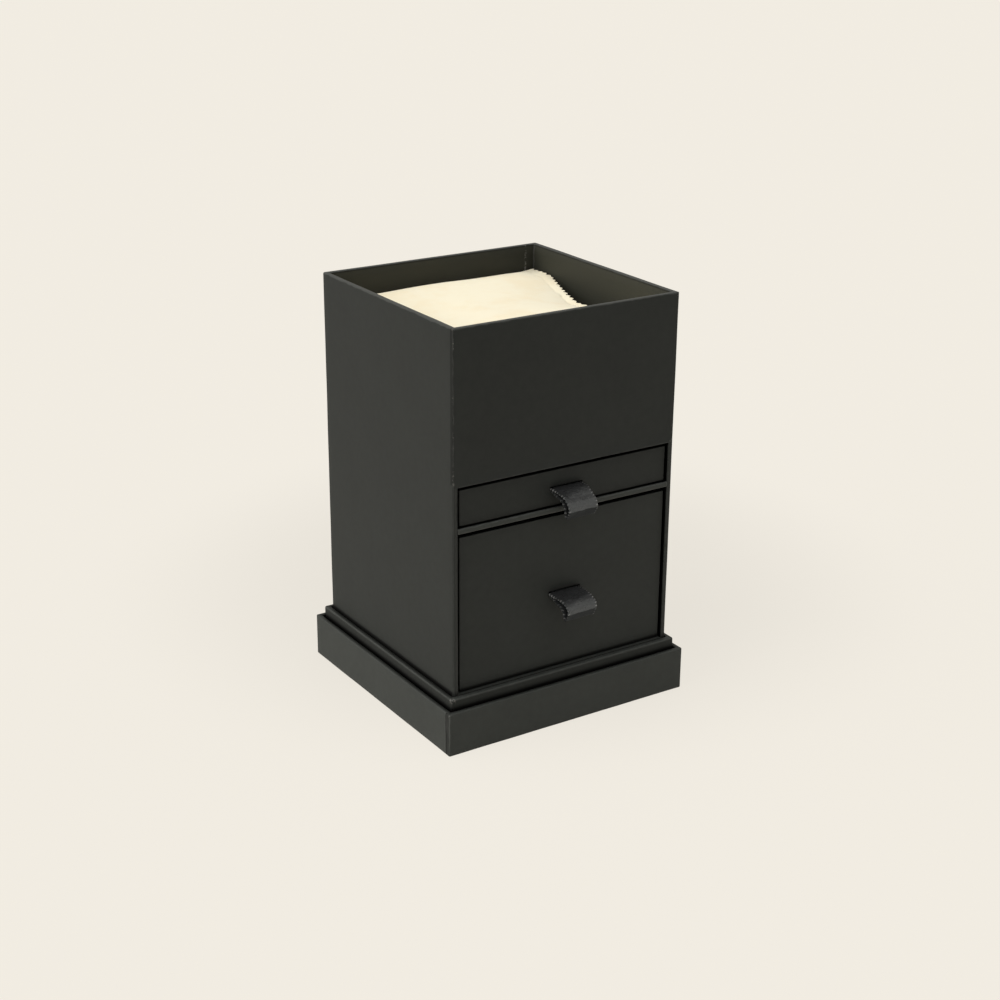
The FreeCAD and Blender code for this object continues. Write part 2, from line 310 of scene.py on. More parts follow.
def new_group(name, inputs, outputs):
    """A shader node group: inputs are (name, kind, start value), outputs are (name, kind)."""
    tree = bpy.data.node_groups.new(name, "ShaderNodeTree")
    for socket, kind, start in inputs:
        made = tree.interface.new_socket(socket, in_out="INPUT", socket_type="NodeSocket" + kind)
        if start is not None:
            made.default_value = start
    for socket, kind in outputs:
        tree.interface.new_socket(socket, in_out="OUTPUT", socket_type="NodeSocket" + kind)
    source = tree.nodes.new("NodeGroupInput")
    result = tree.nodes.new("NodeGroupOutput")
    return tree, source.outputs, result.inputs


def speckle(tree, place, size, detail=2.0, roughness=0.5, distortion=0.0):
    """A noise value whose lumps are size millimetres across; size may be a socket."""
    plain = isinstance(size, float)
    scale = 1 / size if plain else calculate(tree, "DIVIDE", 1.0, size)
    return add(tree, "ShaderNodeTexNoise", {
        "Vector": place, "Scale": scale, "Detail": detail, "Roughness": roughness,
        "Distortion": distortion}).outputs["Fac"]


def make_grain_group():
    tree, source, result = new_group(
        "paper_grain",
        [("Place", "Vector", None), ("Fibre", "Float", 0.35), ("Cloud", "Float", 2.2)],
        [("Tone", "Float"), ("Height", "Float")])
    place = source["Place"]
    fibre = speckle(tree, place, source["Fibre"], 3.0, 0.6, distortion=1.2)
    cloud = speckle(tree, place, source["Cloud"])
    wide = speckle(tree, place, WIDE_CLOUD, 1.0)
    feed(tree, result["Tone"], weigh(tree, (fibre, cloud, wide), GRAIN_SHARES))
    feed(tree, result["Height"], weigh(tree, (fibre, cloud), GRAIN_HEIGHTS))
    return tree


GRAIN = make_grain_group()
print("group:", GRAIN.name)

# %% Edges and crooks of a box
BOX_INPUTS = [("Place", "Vector", None), ("Middle", "Vector", (0, 0, 0)),
              ("Half", "Vector", (1, 1, 1)), ("Reach", "Float", 0.5)]


def from_middle(tree, source):
    """How far a point lies from a box's middle along x, y and z."""
    offset = vectors(tree, "SUBTRACT", source["Place"], source["Middle"])
    return vectors(tree, "ABSOLUTE", offset)


def make_edge_group():
    """1 on an edge, where a point is near to two faces at once, and 0 from Reach inside it."""
    tree, source, result = new_group("box_edges", BOX_INPUTS, [("Edge", "Float")])
    depth = vectors(tree, "SUBTRACT", source["Half"], from_middle(tree, source))
    parts = add(tree, "ShaderNodeSeparateXYZ", {0: depth}).outputs
    nearer = calculate(tree, "MINIMUM", parts[0], parts[1])
    farther = calculate(tree, "MAXIMUM", parts[0], parts[1])
    second = calculate(tree, "MAXIMUM", nearer, calculate(tree, "MINIMUM", farther, parts[2]))
    feed(tree, result["Edge"], remap(tree, second, source["Reach"], 0.0))
    return tree


def make_crook_group():
    """1 in a box and on its skin, falling to 0 at Reach outside it."""
    tree, source, result = new_group("crook", BOX_INPUTS, [("Crook", "Float")])
    outside = vectors(tree, "SUBTRACT", from_middle(tree, source), source["Half"])
    parts = add(tree, "ShaderNodeSeparateXYZ", {0: outside}).outputs
    farthest = calculate(tree, "MAXIMUM", parts[0], calculate(tree, "MAXIMUM", parts[1], parts[2]))
    feed(tree, result["Crook"], remap(tree, farthest, source["Reach"], 0.0))
    return tree


BOX_EDGES = make_edge_group()
CROOK = make_crook_group()
print("groups:", BOX_EDGES.name, CROOK.name)

# %% Scuffs and dust
SCUFF_SPOT = 0.55             # millimetres across one broken bit of dye
SCUFF_PATCH = 9.0             # and along a stretch that is worn more than the next
SCUFF_LIMIT = 0.86
SCUFF_BORDER = 0.05
DUST_EMPTY = 0.45             # this share of the places holds no speck
DUST_FAINTEST = 0.25


def make_scuff_group():
    tree, source, result = new_group(
        "scuffs",
        [("Place", "Vector", None), ("Edge", "Float", 0.0), ("Amount", "Float", 0.5)],
        [("Scuff", "Float")])
    spot = speckle(tree, source["Place"], SCUFF_SPOT)
    patch = speckle(tree, source["Place"], SCUFF_PATCH, 1.0)
    limit = calculate(tree, "SUBTRACT", SCUFF_LIMIT, times(tree, source["Amount"], patch))
    broken = remap(tree, calculate(tree, "SUBTRACT", spot, limit), 0.0, SCUFF_BORDER)
    feed(tree, result["Scuff"], times(tree, broken, source["Edge"]))
    return tree


def make_dust_group():
    tree, source, result = new_group(
        "dust",
        [("Place", "Vector", None), ("Spacing", "Float", 9.0), ("Size", "Float", 0.16)],
        [("Dust", "Float")])
    cells = add(tree, "ShaderNodeTexVoronoi", {
        "Vector": source["Place"], "Scale": calculate(tree, "DIVIDE", 1.0, source["Spacing"])})
    lot = add(tree, "ShaderNodeSeparateColor", {0: cells.outputs["Color"]}).outputs
    radius = times(tree, calculate(tree, "DIVIDE", source["Size"], source["Spacing"]), lot[1])
    on_speck = calculate(tree, "LESS_THAN", cells.outputs["Distance"], radius)
    kept = calculate(tree, "GREATER_THAN", lot[0], DUST_EMPTY)
    faint = remap(tree, lot[2], 0.0, 1.0, DUST_FAINTEST, 1.0, smooth=False)
    feed(tree, result["Dust"], times(tree, times(tree, on_speck, kept), faint))
    return tree


SCUFFS = make_scuff_group()
DUST = make_dust_group()
print("groups:", SCUFFS.name, DUST.name)

# %% Placing the groups
def place_group(tree, group, **inputs):
    """Puts a node group into a material's tree."""
    node = tree.nodes.new("ShaderNodeGroup")
    node.node_tree = group
    for name, value in inputs.items():
        feed(tree, node.inputs[name], value)
    return node.outputs


def place_box_group(tree, group, place, low, high, reach):
    """Puts in a group that measures from the box between two corners."""
    return place_group(tree, group, Place=place, Middle=(low + high) / 2 / MM,
                       Half=(high - low) / 2 / MM, Reach=reach)[0]


def millimetres(tree):
    """The point being shaded, in millimetres on the piece."""
    place = add(tree, "ShaderNodeTexCoord").outputs["Object"]
    return add(tree, "ShaderNodeVectorMath", {0: place, "Scale": 1 / MM},
               operation="SCALE").outputs[0]


print("groups can be placed")

# %% [markdown]
# ## Black covering paper
# The covering is a matt dyed paper: nearly black, with felted fibres that show as a faint
# mottle. At edges its surface layer cracks, and grey fibres show as fine dashes. One
# function makes it for any box, because the worn line follows that box.
# Where shade falls, beside a taller wall, in a recess or in a gap, the paper gets painted
# shade, a near-black colour. A shader's paper always keeps a little shine, so dark colour
# alone can't make that painted shade dark. There the shader also fades to metal, which
# shines only as brightly as its own colour.

# %% Black covering paper
DYE_TINT = (0.915, 1.0, 0.93)    # the dye leans a little to green
# Tones differ by piece as painted light: tray, neck and rail are lighter than the tower, as if lit
# more, and the lower drawer is lighter than the upper, nearer the floor's bounce.
TOWER_TONE = 0.026
DRAWER_TONES = {"upper_drawer": 0.024, "lower_drawer": 0.029}
TRAY_TONE = 0.044
RAIL_TONE = 0.048
# the near-black colour of painted shade, on the papers and the ribbons
SHADE_BLACK = tinted(0.004)
CUSHION_BOUNCE_LIFT = 1.50                # painted bounce light: the inner walls lighter and warmer, as if lit by the cream cushion
CUSHION_BOUNCE_TINT = (0.99, 1.0, 0.76)
INNER_BORDER = 0.1
RUBBED_GREY_AND_HIGHLIGHT = tinted(0.10, (0.96, 1.0, 0.96))
SCUFF_COLOUR = tinted(0.14, (1.02, 1.0, 0.95))
DUST_COLOUR = tinted(0.22, (1.02, 1.0, 0.95))
PAPER_ROUGHNESS = 0.62
PAPER_GLOSS = 0.18
PAPER_MOTTLE = 0.08
PAPER_SWING = 0.14               # how far the grain's tone goes to either side of a half
PAPER_FELT = 0.02                # millimetres
FELT_STRENGTH = 0.35
EDGE_REACH = 0.55
WOBBLE = 0.8                     # millimetres, full swing; most of it is under a third of that
WOBBLE_SIZE = 3.0


def wobbled(tree, place):
    """The place moved a little to and fro, so that no line drawn by hand is quite straight."""
    drift = add(tree, "ShaderNodeTexNoise", {"Vector": place, "Scale": 1 / WOBBLE_SIZE,
                                             "Detail": 2.0}).outputs["Color"]
    centred = vectors(tree, "SUBTRACT", drift, (0.5, 0.5, 0.5))
    return vectors(tree, "MULTIPLY_ADD", centred, (WOBBLE, WOBBLE, WOBBLE), place)


def mark(box, reach, strength):
    """A mark on a paper: the box it lies on, how many millimetres round it, how strongly."""
    return box, reach, strength


def covering_paper(name, low, high, tone, scuff=0.2, edge_rub_and_highlight=0.18, inner=None, rubs_and_highlights=(),
                   wear=(), shade_marks=()):
    """The covering paper of the box between two corners.

    Rubs and highlights, wear and shade marks are lists of marks. By a rub or highlight the
    colour goes to an even grey. Part of that is dye rubbed off at a fold, and part is a painted
    highlight where an edge catches the light. By a worn place the colour is broken into fine
    specks. A shade mark is painted shade: there the paper goes to near black and loses its gloss.
    """
    material, tree, principled = new_material(name, Roughness=PAPER_ROUGHNESS,
                                              Specular_IOR_Level=PAPER_GLOSS)
    place = millimetres(tree)
    uneven = wobbled(tree, place)
    grain = place_group(tree, GRAIN, Place=place)
    edge = place_box_group(tree, BOX_EDGES, uneven, low, high, EDGE_REACH)
    worn = place_group(tree, SCUFFS, Place=place, Edge=edge, Amount=scuff)["Scuff"]
    for box, reach, amount in wear:
        handled = place_box_group(tree, CROOK, uneven, *box, reach)
        more = place_group(tree, SCUFFS, Place=place, Edge=handled, Amount=amount)["Scuff"]
        worn = calculate(tree, "MAXIMUM", worn, more)
    colour = mottled(tree, grain["Tone"], PAPER_SWING, tone, DYE_TINT, 1 - PAPER_MOTTLE,
                     1 + PAPER_MOTTLE)
    if inner:
        # painted bounce light: the inside of the box goes lighter and warmer, standing for light
        # from the cream cushion
        bounce_lit = place_box_group(tree, CROOK, place, *inner, INNER_BORDER)
        colour = mix_colour(tree, bounce_lit, colour, tinted(tone * CUSHION_BOUNCE_LIFT, CUSHION_BOUNCE_TINT))
    # painted highlight along every edge of the box, together with some rubbed grey
    colour = mix_colour(tree, times(tree, edge, edge_rub_and_highlight), colour, RUBBED_GREY_AND_HIGHLIGHT)
    # rubbed grey at folds, and painted highlights where rims, corners and raised edges catch the
    # light
    for box, reach, strength in rubs_and_highlights:
        rubbed_or_highlit = times(tree, place_box_group(tree, CROOK, uneven, *box, reach), strength)
        colour = mix_colour(tree, rubbed_or_highlit, colour, RUBBED_GREY_AND_HIGHLIGHT)
    colour = mix_colour(tree, worn, colour, SCUFF_COLOUR)
    speck = place_group(tree, DUST, Place=place)["Dust"]
    colour = mix_colour(tree, speck, colour, DUST_COLOUR)
    darkest = 0.0
    # painted shade: near-black colour, and metal that takes away the paper's gloss, where shade
    # falls
    for box, reach, strength in shade_marks:
        dark = times(tree, place_box_group(tree, CROOK, place, *box, reach), strength)
        colour = mix_colour(tree, dark, colour, SHADE_BLACK)
        darkest = calculate(tree, "MAXIMUM", darkest, dark)
    feed(tree, principled.inputs["Metallic"], darkest)
    feed(tree, principled.inputs["Base Color"], colour)
    roughen(tree, principled, grain["Height"], FELT_STRENGTH, PAPER_FELT)
    return material


print("covering paper tones", TOWER_TONE, DRAWER_TONES, TRAY_TONE, RAIL_TONE)

# %% [markdown]
# ## The frame's own boards
# Inside, the frame's own boards show: black-dyed greyboard with pressed fibres, and smooth
# lining paper. They keep their frame meshes and get their finish here.

# %% Finishes of the frame's own boards
BOARD_GLOSS = 0.2
BOARD_MOTTLE = 0.2
BOARD_SWING = 0.16
BOARD_STRENGTH = 0.5
BOARD_DUST_SPACING = 7.0


def board_finish(name, tone, fibre, cloud, rough=0.85, felt=0.04):
    """Pressed board or plain paper; fibre, cloud and felt are sizes in millimetres."""
    material, tree, principled = new_material(name, Roughness=rough,
                                              Specular_IOR_Level=BOARD_GLOSS)
    place = millimetres(tree)
    grain = place_group(tree, GRAIN, Place=place, Fibre=fibre, Cloud=cloud)
    speck = place_group(tree, DUST, Place=place, Spacing=BOARD_DUST_SPACING)["Dust"]
    colour = mottled(tree, grain["Tone"], BOARD_SWING, tone, DYE_TINT, 1 - BOARD_MOTTLE,
                     1 + BOARD_MOTTLE)
    colour = mix_colour(tree, speck, colour, DUST_COLOUR)
    feed(tree, principled.inputs["Base Color"], colour)
    roughen(tree, principled, grain["Height"], BOARD_STRENGTH, felt)
    return material


BLACK_BOARD = board_finish("black_board", 0.036, fibre=0.5, cloud=2.0)
COVERED_BOARD = board_finish("covered_board", 0.042, fibre=0.35, cloud=2.2, rough=0.65,
                             felt=0.02)
LINING_PAPER = board_finish("lining_paper", 0.038, fibre=0.3, cloud=3.0, rough=0.7, felt=0.015)
FINISH_OF_SLOT = {"black_board": BLACK_BOARD, "covered_board": COVERED_BOARD,
                  "lining_paper": LINING_PAPER, "black_paper": LINING_PAPER}

node_slots = {part["node"]: part["material_slot"] for part in frame["record"]["subparts"]}
for node_name, board in frame["nodes"].items():
    finish = FINISH_OF_SLOT.get(node_slots[node_name], BLACK_BOARD)
    board.data.materials.clear()
    board.data.materials.append(finish)
print("dressed", len(frame["nodes"]), "frame nodes")

# %% [markdown]
# ## Paper over a box
# A wrapped box is made the way the wrapper works: one sheet goes up the outside, over the
# rim, down the inside, and sometimes under the bottom. So each covering here is an open
# sheet cut from a cube, and a Solidify modifier gives it the paper's thickness, inwards, on
# to the boards. Rounded edges come from the bevel operator. After that the sheet is cut into
# a grid, so that it can lie a hair uneven, as glued paper does.

# %% Choosing, cutting and rounding
PAPER = 0.2 * MM
TINY = 0.001 * MM


def near(value, target, reach=TINY * 10):
    """True where a value lies at a target."""
    return abs(value - target) < reach


def inside(point, low, high):
    """True where a point lies between two corners."""
    return all(l <= p <= h for p, l, h in zip(point, low, high))


def only(kind, made):
    """The verts, edges or faces among what an operator made."""
    return [part for part in made if isinstance(part, kind)]


def edges_where(bm, test):
    """Edges whose two ends and middle pass a test."""
    chosen = []
    for edge in bm.edges:
        ends = [v.co for v in edge.verts]
        if all(test(p) for p in (*ends, (ends[0] + ends[1]) / 2)):
            chosen.append(edge)
    return chosen


def by_walls(edges):
    """Those of the edges that a standing face runs up to."""
    return [e for e in edges if any(abs(f.normal.z) < 0.5 for f in e.link_faces)]


def round_edges(bm, edges, radius, segments=3):
    """Bevels edges to an arc."""
    bmesh.ops.bevel(bm, geom=edges, offset=radius, offset_type="OFFSET", segments=segments,
                    profile=0.5, affect="EDGES", material=-1, clamp_overlap=False)


def draw_out(bm, edges, shift):
    """Extrudes edges by a shift and gives the new edges."""
    made = bmesh.ops.extrude_edge_only(bm, edges=edges)["geom"]
    bmesh.ops.translate(bm, vec=shift, verts=only(bmesh.types.BMVert, made))
    return only(bmesh.types.BMEdge, made)


def cut_faces(bm, faces, point, normal):
    """Cuts faces where the plane through a point crosses them."""
    edges = {e for f in faces for e in f.edges}
    verts = {v for f in faces for v in f.verts}
    bmesh.ops.bisect_plane(bm, geom=[*faces, *edges, *verts], dist=TINY, plane_co=point,
                           plane_no=normal)


def cut_at(bm, axis, places, low=None, high=None):
    """Cuts the mesh across an axis at each place, only in faces inside a box if one is given."""
    normal = Vector([float(i == axis) for i in range(3)])
    for place in places:
        faces = [f for f in bm.faces if low is None or inside(f.calc_center_median(), low, high)]
        cut_faces(bm, faces, normal * place, normal)


def steps(low, high, spacing):
    """Evenly spaced places between two limits, without the limits."""
    count = max(1, round((high - low) / spacing))
    return [low + (high - low) * i / count for i in range(1, count)]


def grid_cuts(bm, low, high, spacing):
    """Cuts a whole sheet into squares of about one spacing."""
    for axis in range(3):
        cut_at(bm, axis, steps(low[axis], high[axis], spacing))


def settle(bm, depth, spread, seed):
    """Lets the sheet lie a hair in or out of its plane, in waves about spread wide."""
    bm.normal_update()
    shift = Vector((seed, seed * 0.7, seed * 1.3))
    for v in bm.verts:
        v.co += v.normal * depth * noise.noise(v.co / spread + shift)


print("cutting tools ready")

# %% Sheets and pieces
def face_outwards(bm):
    """Turns the sheet so that its outer wall faces away from the box."""
    bmesh.ops.recalc_face_normals(bm, faces=bm.faces)
    outermost = max(bm.faces, key=lambda f: f.calc_center_median().x)
    if outermost.normal.x < 0:
        bmesh.ops.reverse_faces(bm, faces=bm.faces)


def box_between(low, high):
    """A closed box between two corners."""
    bm = bmesh.new()
    bmesh.ops.create_cube(bm, size=1)
    bmesh.ops.scale(bm, vec=high - low, verts=bm.verts)
    bmesh.ops.translate(bm, vec=(high + low) / 2, verts=bm.verts)
    return bm


def paper_sheet(low, high, wall, turn_in, turn_under=0.0):
    """An open sheet over four walls: outside, rim, inside and a margin underneath."""
    bm = box_between(low, high)
    top = max(bm.faces, key=lambda f: f.calc_center_median().z)
    bottom = min(bm.faces, key=lambda f: f.calc_center_median().z)
    bmesh.ops.inset_region(bm, faces=[top], thickness=wall, use_even_offset=True)
    mouth = bmesh.ops.extrude_face_region(bm, geom=[top])["geom"]
    bmesh.ops.translate(bm, vec=(0, 0, -turn_in), verts=only(bmesh.types.BMVert, mouth))
    if turn_under:
        bmesh.ops.inset_region(bm, faces=[bottom], thickness=turn_under, use_even_offset=True)
    spare = only(bmesh.types.BMFace, mouth)
    bmesh.ops.delete(bm, geom=[*spare, top, bottom], context="FACES_ONLY")
    bmesh.ops.delete(bm, geom=[e for e in bm.edges if not e.link_faces], context="EDGES")
    return bm


def round_box(bm, low, high, wall, corner, outer_rim, inner_rim, under=0.0):
    """Rounds the uprights, then the rim's outer and inner edge, and the foot."""
    def on_upright(p):
        return (near(p.x, low.x) or near(p.x, high.x)) and (near(p.y, low.y) or near(p.y, high.y))

    def on_outer(p):
        reach = corner + TINY * 10
        return near(p.z, high.z) and (min(p.x - low.x, high.x - p.x) < reach
                                      or min(p.y - low.y, high.y - p.y) < reach)

    def on_inner(p):
        return (near(p.z, high.z)
                and min(p.x - low.x, high.x - p.x, p.y - low.y, high.y - p.y) > wall - TINY)

    round_edges(bm, edges_where(bm, on_upright), corner, segments=5)
    round_edges(bm, by_walls(edges_where(bm, on_outer)), outer_rim)
    round_edges(bm, edges_where(bm, on_inner), inner_rim)
    if under:
        round_edges(bm, by_walls(edges_where(bm, lambda p: near(p.z, low.z))), under)


def new_piece(name, bm, material, body, nodes, thickness=0.0, sharp=40):
    """Makes the mesh an object that rides on a body and stands for frame nodes."""
    piece = place_mesh(name, bm)
    piece.data.shade_smooth()
    piece.data.set_sharp_from_angle(angle=math.radians(sharp))
    piece.data.materials.append(material)
    if thickness:
        solid = piece.modifiers.new("thickness", "SOLIDIFY")
        solid.thickness = thickness
        solid.offset = -1
    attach(piece, body)
    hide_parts(*nodes)
    print(name, "faces", len(piece.data.polygons))
    return piece


print("sheet tools ready")

# %% [markdown]
# ## Where marks lie
# A rub or highlight, a worn corner or a painted shade lies in some part of a piece, so each
# is given as a box: a slab below a level, a thin post through a corner, a small cube about a
# tip. A side that isn't given reaches well past the piece. Built up from corners of the
# frame, they move with it.

# %% Boxes for marks
FAR = 1.0
SKIN = 0.2 * MM              # how far a strip reaches into its wall


def region(x=(-FAR, FAR), y=(-FAR, FAR), z=(-FAR, FAR)):
    """The two corners of a box, from its limits along each axis."""
    return tuple(Vector(corner) for corner in zip(x, y, z))


def column_of(node, front=0.0):
    """A node's outline seen from above, at any height; its front may be set back."""
    low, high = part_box(node)
    return region(x=(low.x, high.x), y=(low.y + front, high.y))


def post_at(corner, half, foot=-FAR):
    """A thin upright post through a corner, from its foot upwards."""
    return region(x=(corner.x - half, corner.x + half), y=(corner.y - half, corner.y + half),
                  z=(foot, FAR))


def tip_at(x, y, z, half):
    """A small cube about a point."""
    reach = Vector((half, half, half))
    return Vector((x, y, z)) - reach, Vector((x, y, z)) + reach


def strip_by_corner(low, start, end, foot=-FAR):
    """A strip of the left wall, from start to end behind the front left upright."""
    return region(x=(low.x - MM, low.x + SKIN), y=(low.y + start, low.y + end), z=(foot, FAR))


print("marks can be placed")

# %% [markdown]
# ## Tray and neck
# The tray is the wide foot, and the neck is the low frame that rises inside it round the
# tower. Both have full, soft rims, because the paper goes over a raw board edge. A little
# air is left between tray, neck and tower, and with the rounded rims it reads as the dark
# line where one step ends and the next wall begins; painted shade darkens the paper beside
# each taller wall as well. The tray's sheet ends on its left wall, close behind the front
# upright, in a shallow groove. Painted shade darkens the groove and the strip of sheet in
# front of it, and painted highlights lie on the sheet's raised end and on the front left upright.

# %% Tray
GRID = 3.0 * MM
CORNER_SEAM = 1.8 * MM         # the sheet's end lies this far behind the front left upright
SEAM_HALF = 0.13 * MM
SEAM_DEPTH = 0.30 * MM
SEAM_SHALLOWEST = 0.2          # share of its depth that the groove keeps near the rim
SEAM_BELOW_RIM = 0.5 * MM


def board_of(node):
    """A board's thickness: the smallest side of its box."""
    low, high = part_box(node)
    return min(high - low)


TRAY_WALL = board_of("tray_front") + 2 * PAPER


def press_corner_seam(bm, low, high):
    """The sheet's end on the left wall by the front upright: a groove, deepest at its foot."""
    seam_y = low.y + CORNER_SEAM
    reach_low = Vector((low.x - TINY, low.y, low.z + TINY))
    reach_high = Vector((low.x + TINY, seam_y + 2 * GRID, high.z))
    cut_at(bm, 1, [seam_y - SEAM_HALF, seam_y, seam_y + SEAM_HALF], reach_low, reach_high)
    for v in bm.verts:
        if near(v.co.y, seam_y) and near(v.co.x, low.x) and v.co.z < high.z - SEAM_BELOW_RIM:
            low_down = max(0.0, 1 - (v.co.z - low.z) / (high.z - low.z))
            v.co.x += SEAM_DEPTH * (SEAM_SHALLOWEST + (1 - SEAM_SHALLOWEST) * low_down)


def make_tray_paper():
    low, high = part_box("tray_wrap")
    bm = paper_sheet(low, high, TRAY_WALL, turn_in=6.0 * MM, turn_under=12.0 * MM)
    face_outwards(bm)
    round_box(bm, low, high, TRAY_WALL, corner=0.5 * MM, outer_rim=0.4 * MM,
              inner_rim=0.4 * MM, under=0.3 * MM)
    grid_cuts(bm, low, high, GRID)
    press_corner_seam(bm, low, high)
    settle(bm, depth=0.05 * MM, spread=9 * MM, seed=1.0)
    # painted shade on the strip before the groove, in the groove and beside the neck; painted
    # highlights on the sheet's raised end and the front left upright
    lap_shade = strip_by_corner(low, 0.5 * MM, CORNER_SEAM - 0.2 * MM)
    groove_shade = strip_by_corner(low, CORNER_SEAM - 0.2 * MM, CORNER_SEAM + 0.1 * MM)
    lap_end_highlight = strip_by_corner(low, CORNER_SEAM + 0.3 * MM, CORNER_SEAM + 0.7 * MM)
    front_left = post_at(low, half=0.12 * MM)
    front_tip = tip_at(low.x, low.y, high.z, half=0.4 * MM)
    finish = covering_paper(
        "tray_paper", low, high, TRAY_TONE, scuff=0.25,
        rubs_and_highlights=[mark(front_left, reach=0.3, strength=0.35),
               mark(lap_end_highlight, reach=0.2, strength=0.15)],
        wear=[mark(front_tip, reach=0.4, strength=0.5)],
        shade_marks=[mark(column_of("neck_wrap"), reach=1.9, strength=0.92),
                mark(lap_shade, reach=0.3, strength=0.45), mark(groove_shade, reach=0.15, strength=0.6)])
    new_piece("tray_paper", bm, finish, "case", ["tray_wrap"], PAPER)


make_tray_paper()

# %% Neck
NECK_WALL = board_of("neck_front") + 2 * PAPER
NECK_HUG = 0.2 * MM            # the front of the neck's paper leans on to the tower
NECK_HUG_BAND = (-0.2 * MM, MM)   # about its inner face


def make_neck_paper():
    low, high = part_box("neck_wrap")
    bm = paper_sheet(low, high, NECK_WALL, turn_in=5.0 * MM)
    face_outwards(bm)
    round_box(bm, low, high, NECK_WALL, corner=0.6 * MM, outer_rim=0.5 * MM,
              inner_rim=0.15 * MM)
    for v in bm.verts:
        if NECK_HUG_BAND[0] < v.co.y - (low.y + NECK_WALL) < NECK_HUG_BAND[1]:
            v.co.y += NECK_HUG
    grid_cuts(bm, low, high, GRID)
    settle(bm, depth=0.05 * MM, spread=8 * MM, seed=2.0)
    tray_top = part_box("tray_wrap")[1].z
    front_tip = tip_at(low.x, low.y, high.z, half=0.9 * MM)
    # painted shade beside the tower, above the tray and down the neck's face, and a brighter
    # painted highlight along its edges
    finish = covering_paper(
        "neck_paper", low, high, TRAY_TONE, edge_rub_and_highlight=0.35,
        wear=[mark(front_tip, reach=0.5, strength=0.7)],
        shade_marks=[mark(column_of("tower_wrap", front=1.0 * MM), reach=2.0, strength=0.7),
                mark(region(z=(-FAR, tray_top)), reach=1.8, strength=0.92),
                mark(region(z=(-FAR, high.z - 0.75 * MM)), reach=0.6, strength=0.45)])
    new_piece("neck_paper", bm, finish, "case", ["neck_wrap"], PAPER)


make_neck_paper()

# %% [markdown]
# ## The tower's window
# One sheet goes round the tower, over its rim and down inside. For the drawers a window is
# cut in its front, and the paper at its sides and top is turned back into the bay: those
# edges of the hole are extruded inwards, as the flaps of paper are folded in.

# %% Tower window
TOWER_WALL = board_of("tower_back") + 2 * PAPER
BAY_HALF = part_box("drawer_shelf")[1].x
BAY_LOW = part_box("bay_floor")[1].z
BAY_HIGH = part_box("front_panel")[0].z - PAPER
BAY_TURN_IN = 10.0 * MM
WINDOW_EDGE = 0.35 * MM


def window_edges(bm, front):
    """The edges along the window's sides and top, but not along its sill."""
    def on_side(p):
        return (near(p.y, front) and near(abs(p.x), BAY_HALF)
                and BAY_LOW - TINY < p.z < BAY_HIGH + TINY)

    def on_top(p):
        return near(p.y, front) and near(p.z, BAY_HIGH) and abs(p.x) < BAY_HALF + TINY

    return edges_where(bm, on_side) + edges_where(bm, on_top)


def cut_window(bm, low, high):
    """Opens the front for the drawers and turns the paper in at its sides and top."""
    front_low = Vector((low.x, low.y - MM, low.z))
    front_high = Vector((high.x, low.y + TINY, high.z))
    cut_at(bm, 0, [-BAY_HALF, BAY_HALF], front_low, front_high)
    cut_at(bm, 2, [BAY_LOW, BAY_HIGH], front_low, front_high)
    middles = {f: f.calc_center_median() for f in bm.faces}
    hole = [f for f, middle in middles.items() if near(middle.y, low.y)
            and abs(middle.x) < BAY_HALF and BAY_LOW < middle.z < BAY_HIGH]
    bmesh.ops.delete(bm, geom=hole, context="FACES")
    draw_out(bm, window_edges(bm, low.y), (0, TOWER_WALL, 0))
    # the turned-in rim's lower border at the front goes inwards with them, out of sight
    flaps = [e for e in bm.edges if e.is_boundary and all(
        near(v.co.y, low.y + TOWER_WALL) and near(abs(v.co.x), BAY_HALF) for v in e.verts)]
    draw_out(bm, flaps, (0, BAY_TURN_IN - TOWER_WALL, 0))


print("window", round(2 * BAY_HALF / MM, 1), "x", round((BAY_HIGH - BAY_LOW) / MM, 1), "mm")

# %% [markdown]
# ## Uprights and joints
# Above the window the front sheet ends at the uprights in a raw edge, which makes them
# sharp; below, the paper runs round the narrow stiles, which makes them soft. So the soft
# arc, made first, is drawn together above the window. A slanting cut at each upper corner of
# the window joins the two, and a line pressed into the sheet shows it.

# %% Uprights and joints
TOWER_CORNER = 0.7 * MM
RAW_CORNER = 0.3 * MM         # the sharp uprights above the window
JOINT_RISE = 1.3 * MM         # the slanting cut climbs this far across the stile
JOINT_TOP = BAY_HIGH + JOINT_RISE
CREASE = 0.15 * MM            # half the width and the depth of a pressed joint line


def press_joint(bm, side, low, high):
    """Presses the slanting line into the front at the left (-1) or right (1) stile."""
    start = Vector((side * BAY_HALF, low.y, BAY_HIGH))
    end = Vector((side * (high.x - RAW_CORNER), low.y, JOINT_TOP))
    box_low = Vector((min(start.x, end.x), low.y - TINY, BAY_HIGH - MM))
    box_high = Vector((max(start.x, end.x), low.y + TINY, BAY_HIGH + 2 * MM))
    along = (end - start).normalized()
    across = along.cross(Vector((0, 1, 0)))
    for shift in (-CREASE, 0, CREASE):
        faces = [f for f in bm.faces if inside(f.calc_center_median(), box_low, box_high)]
        cut_faces(bm, faces, start + across * shift, across)
    for v in bm.verts:
        offset = v.co - start
        if (inside(v.co, box_low, box_high) and abs(offset.dot(across)) < TINY * 5
                and -TINY < offset.dot(along) < (end - start).length):
            v.co.y += CREASE


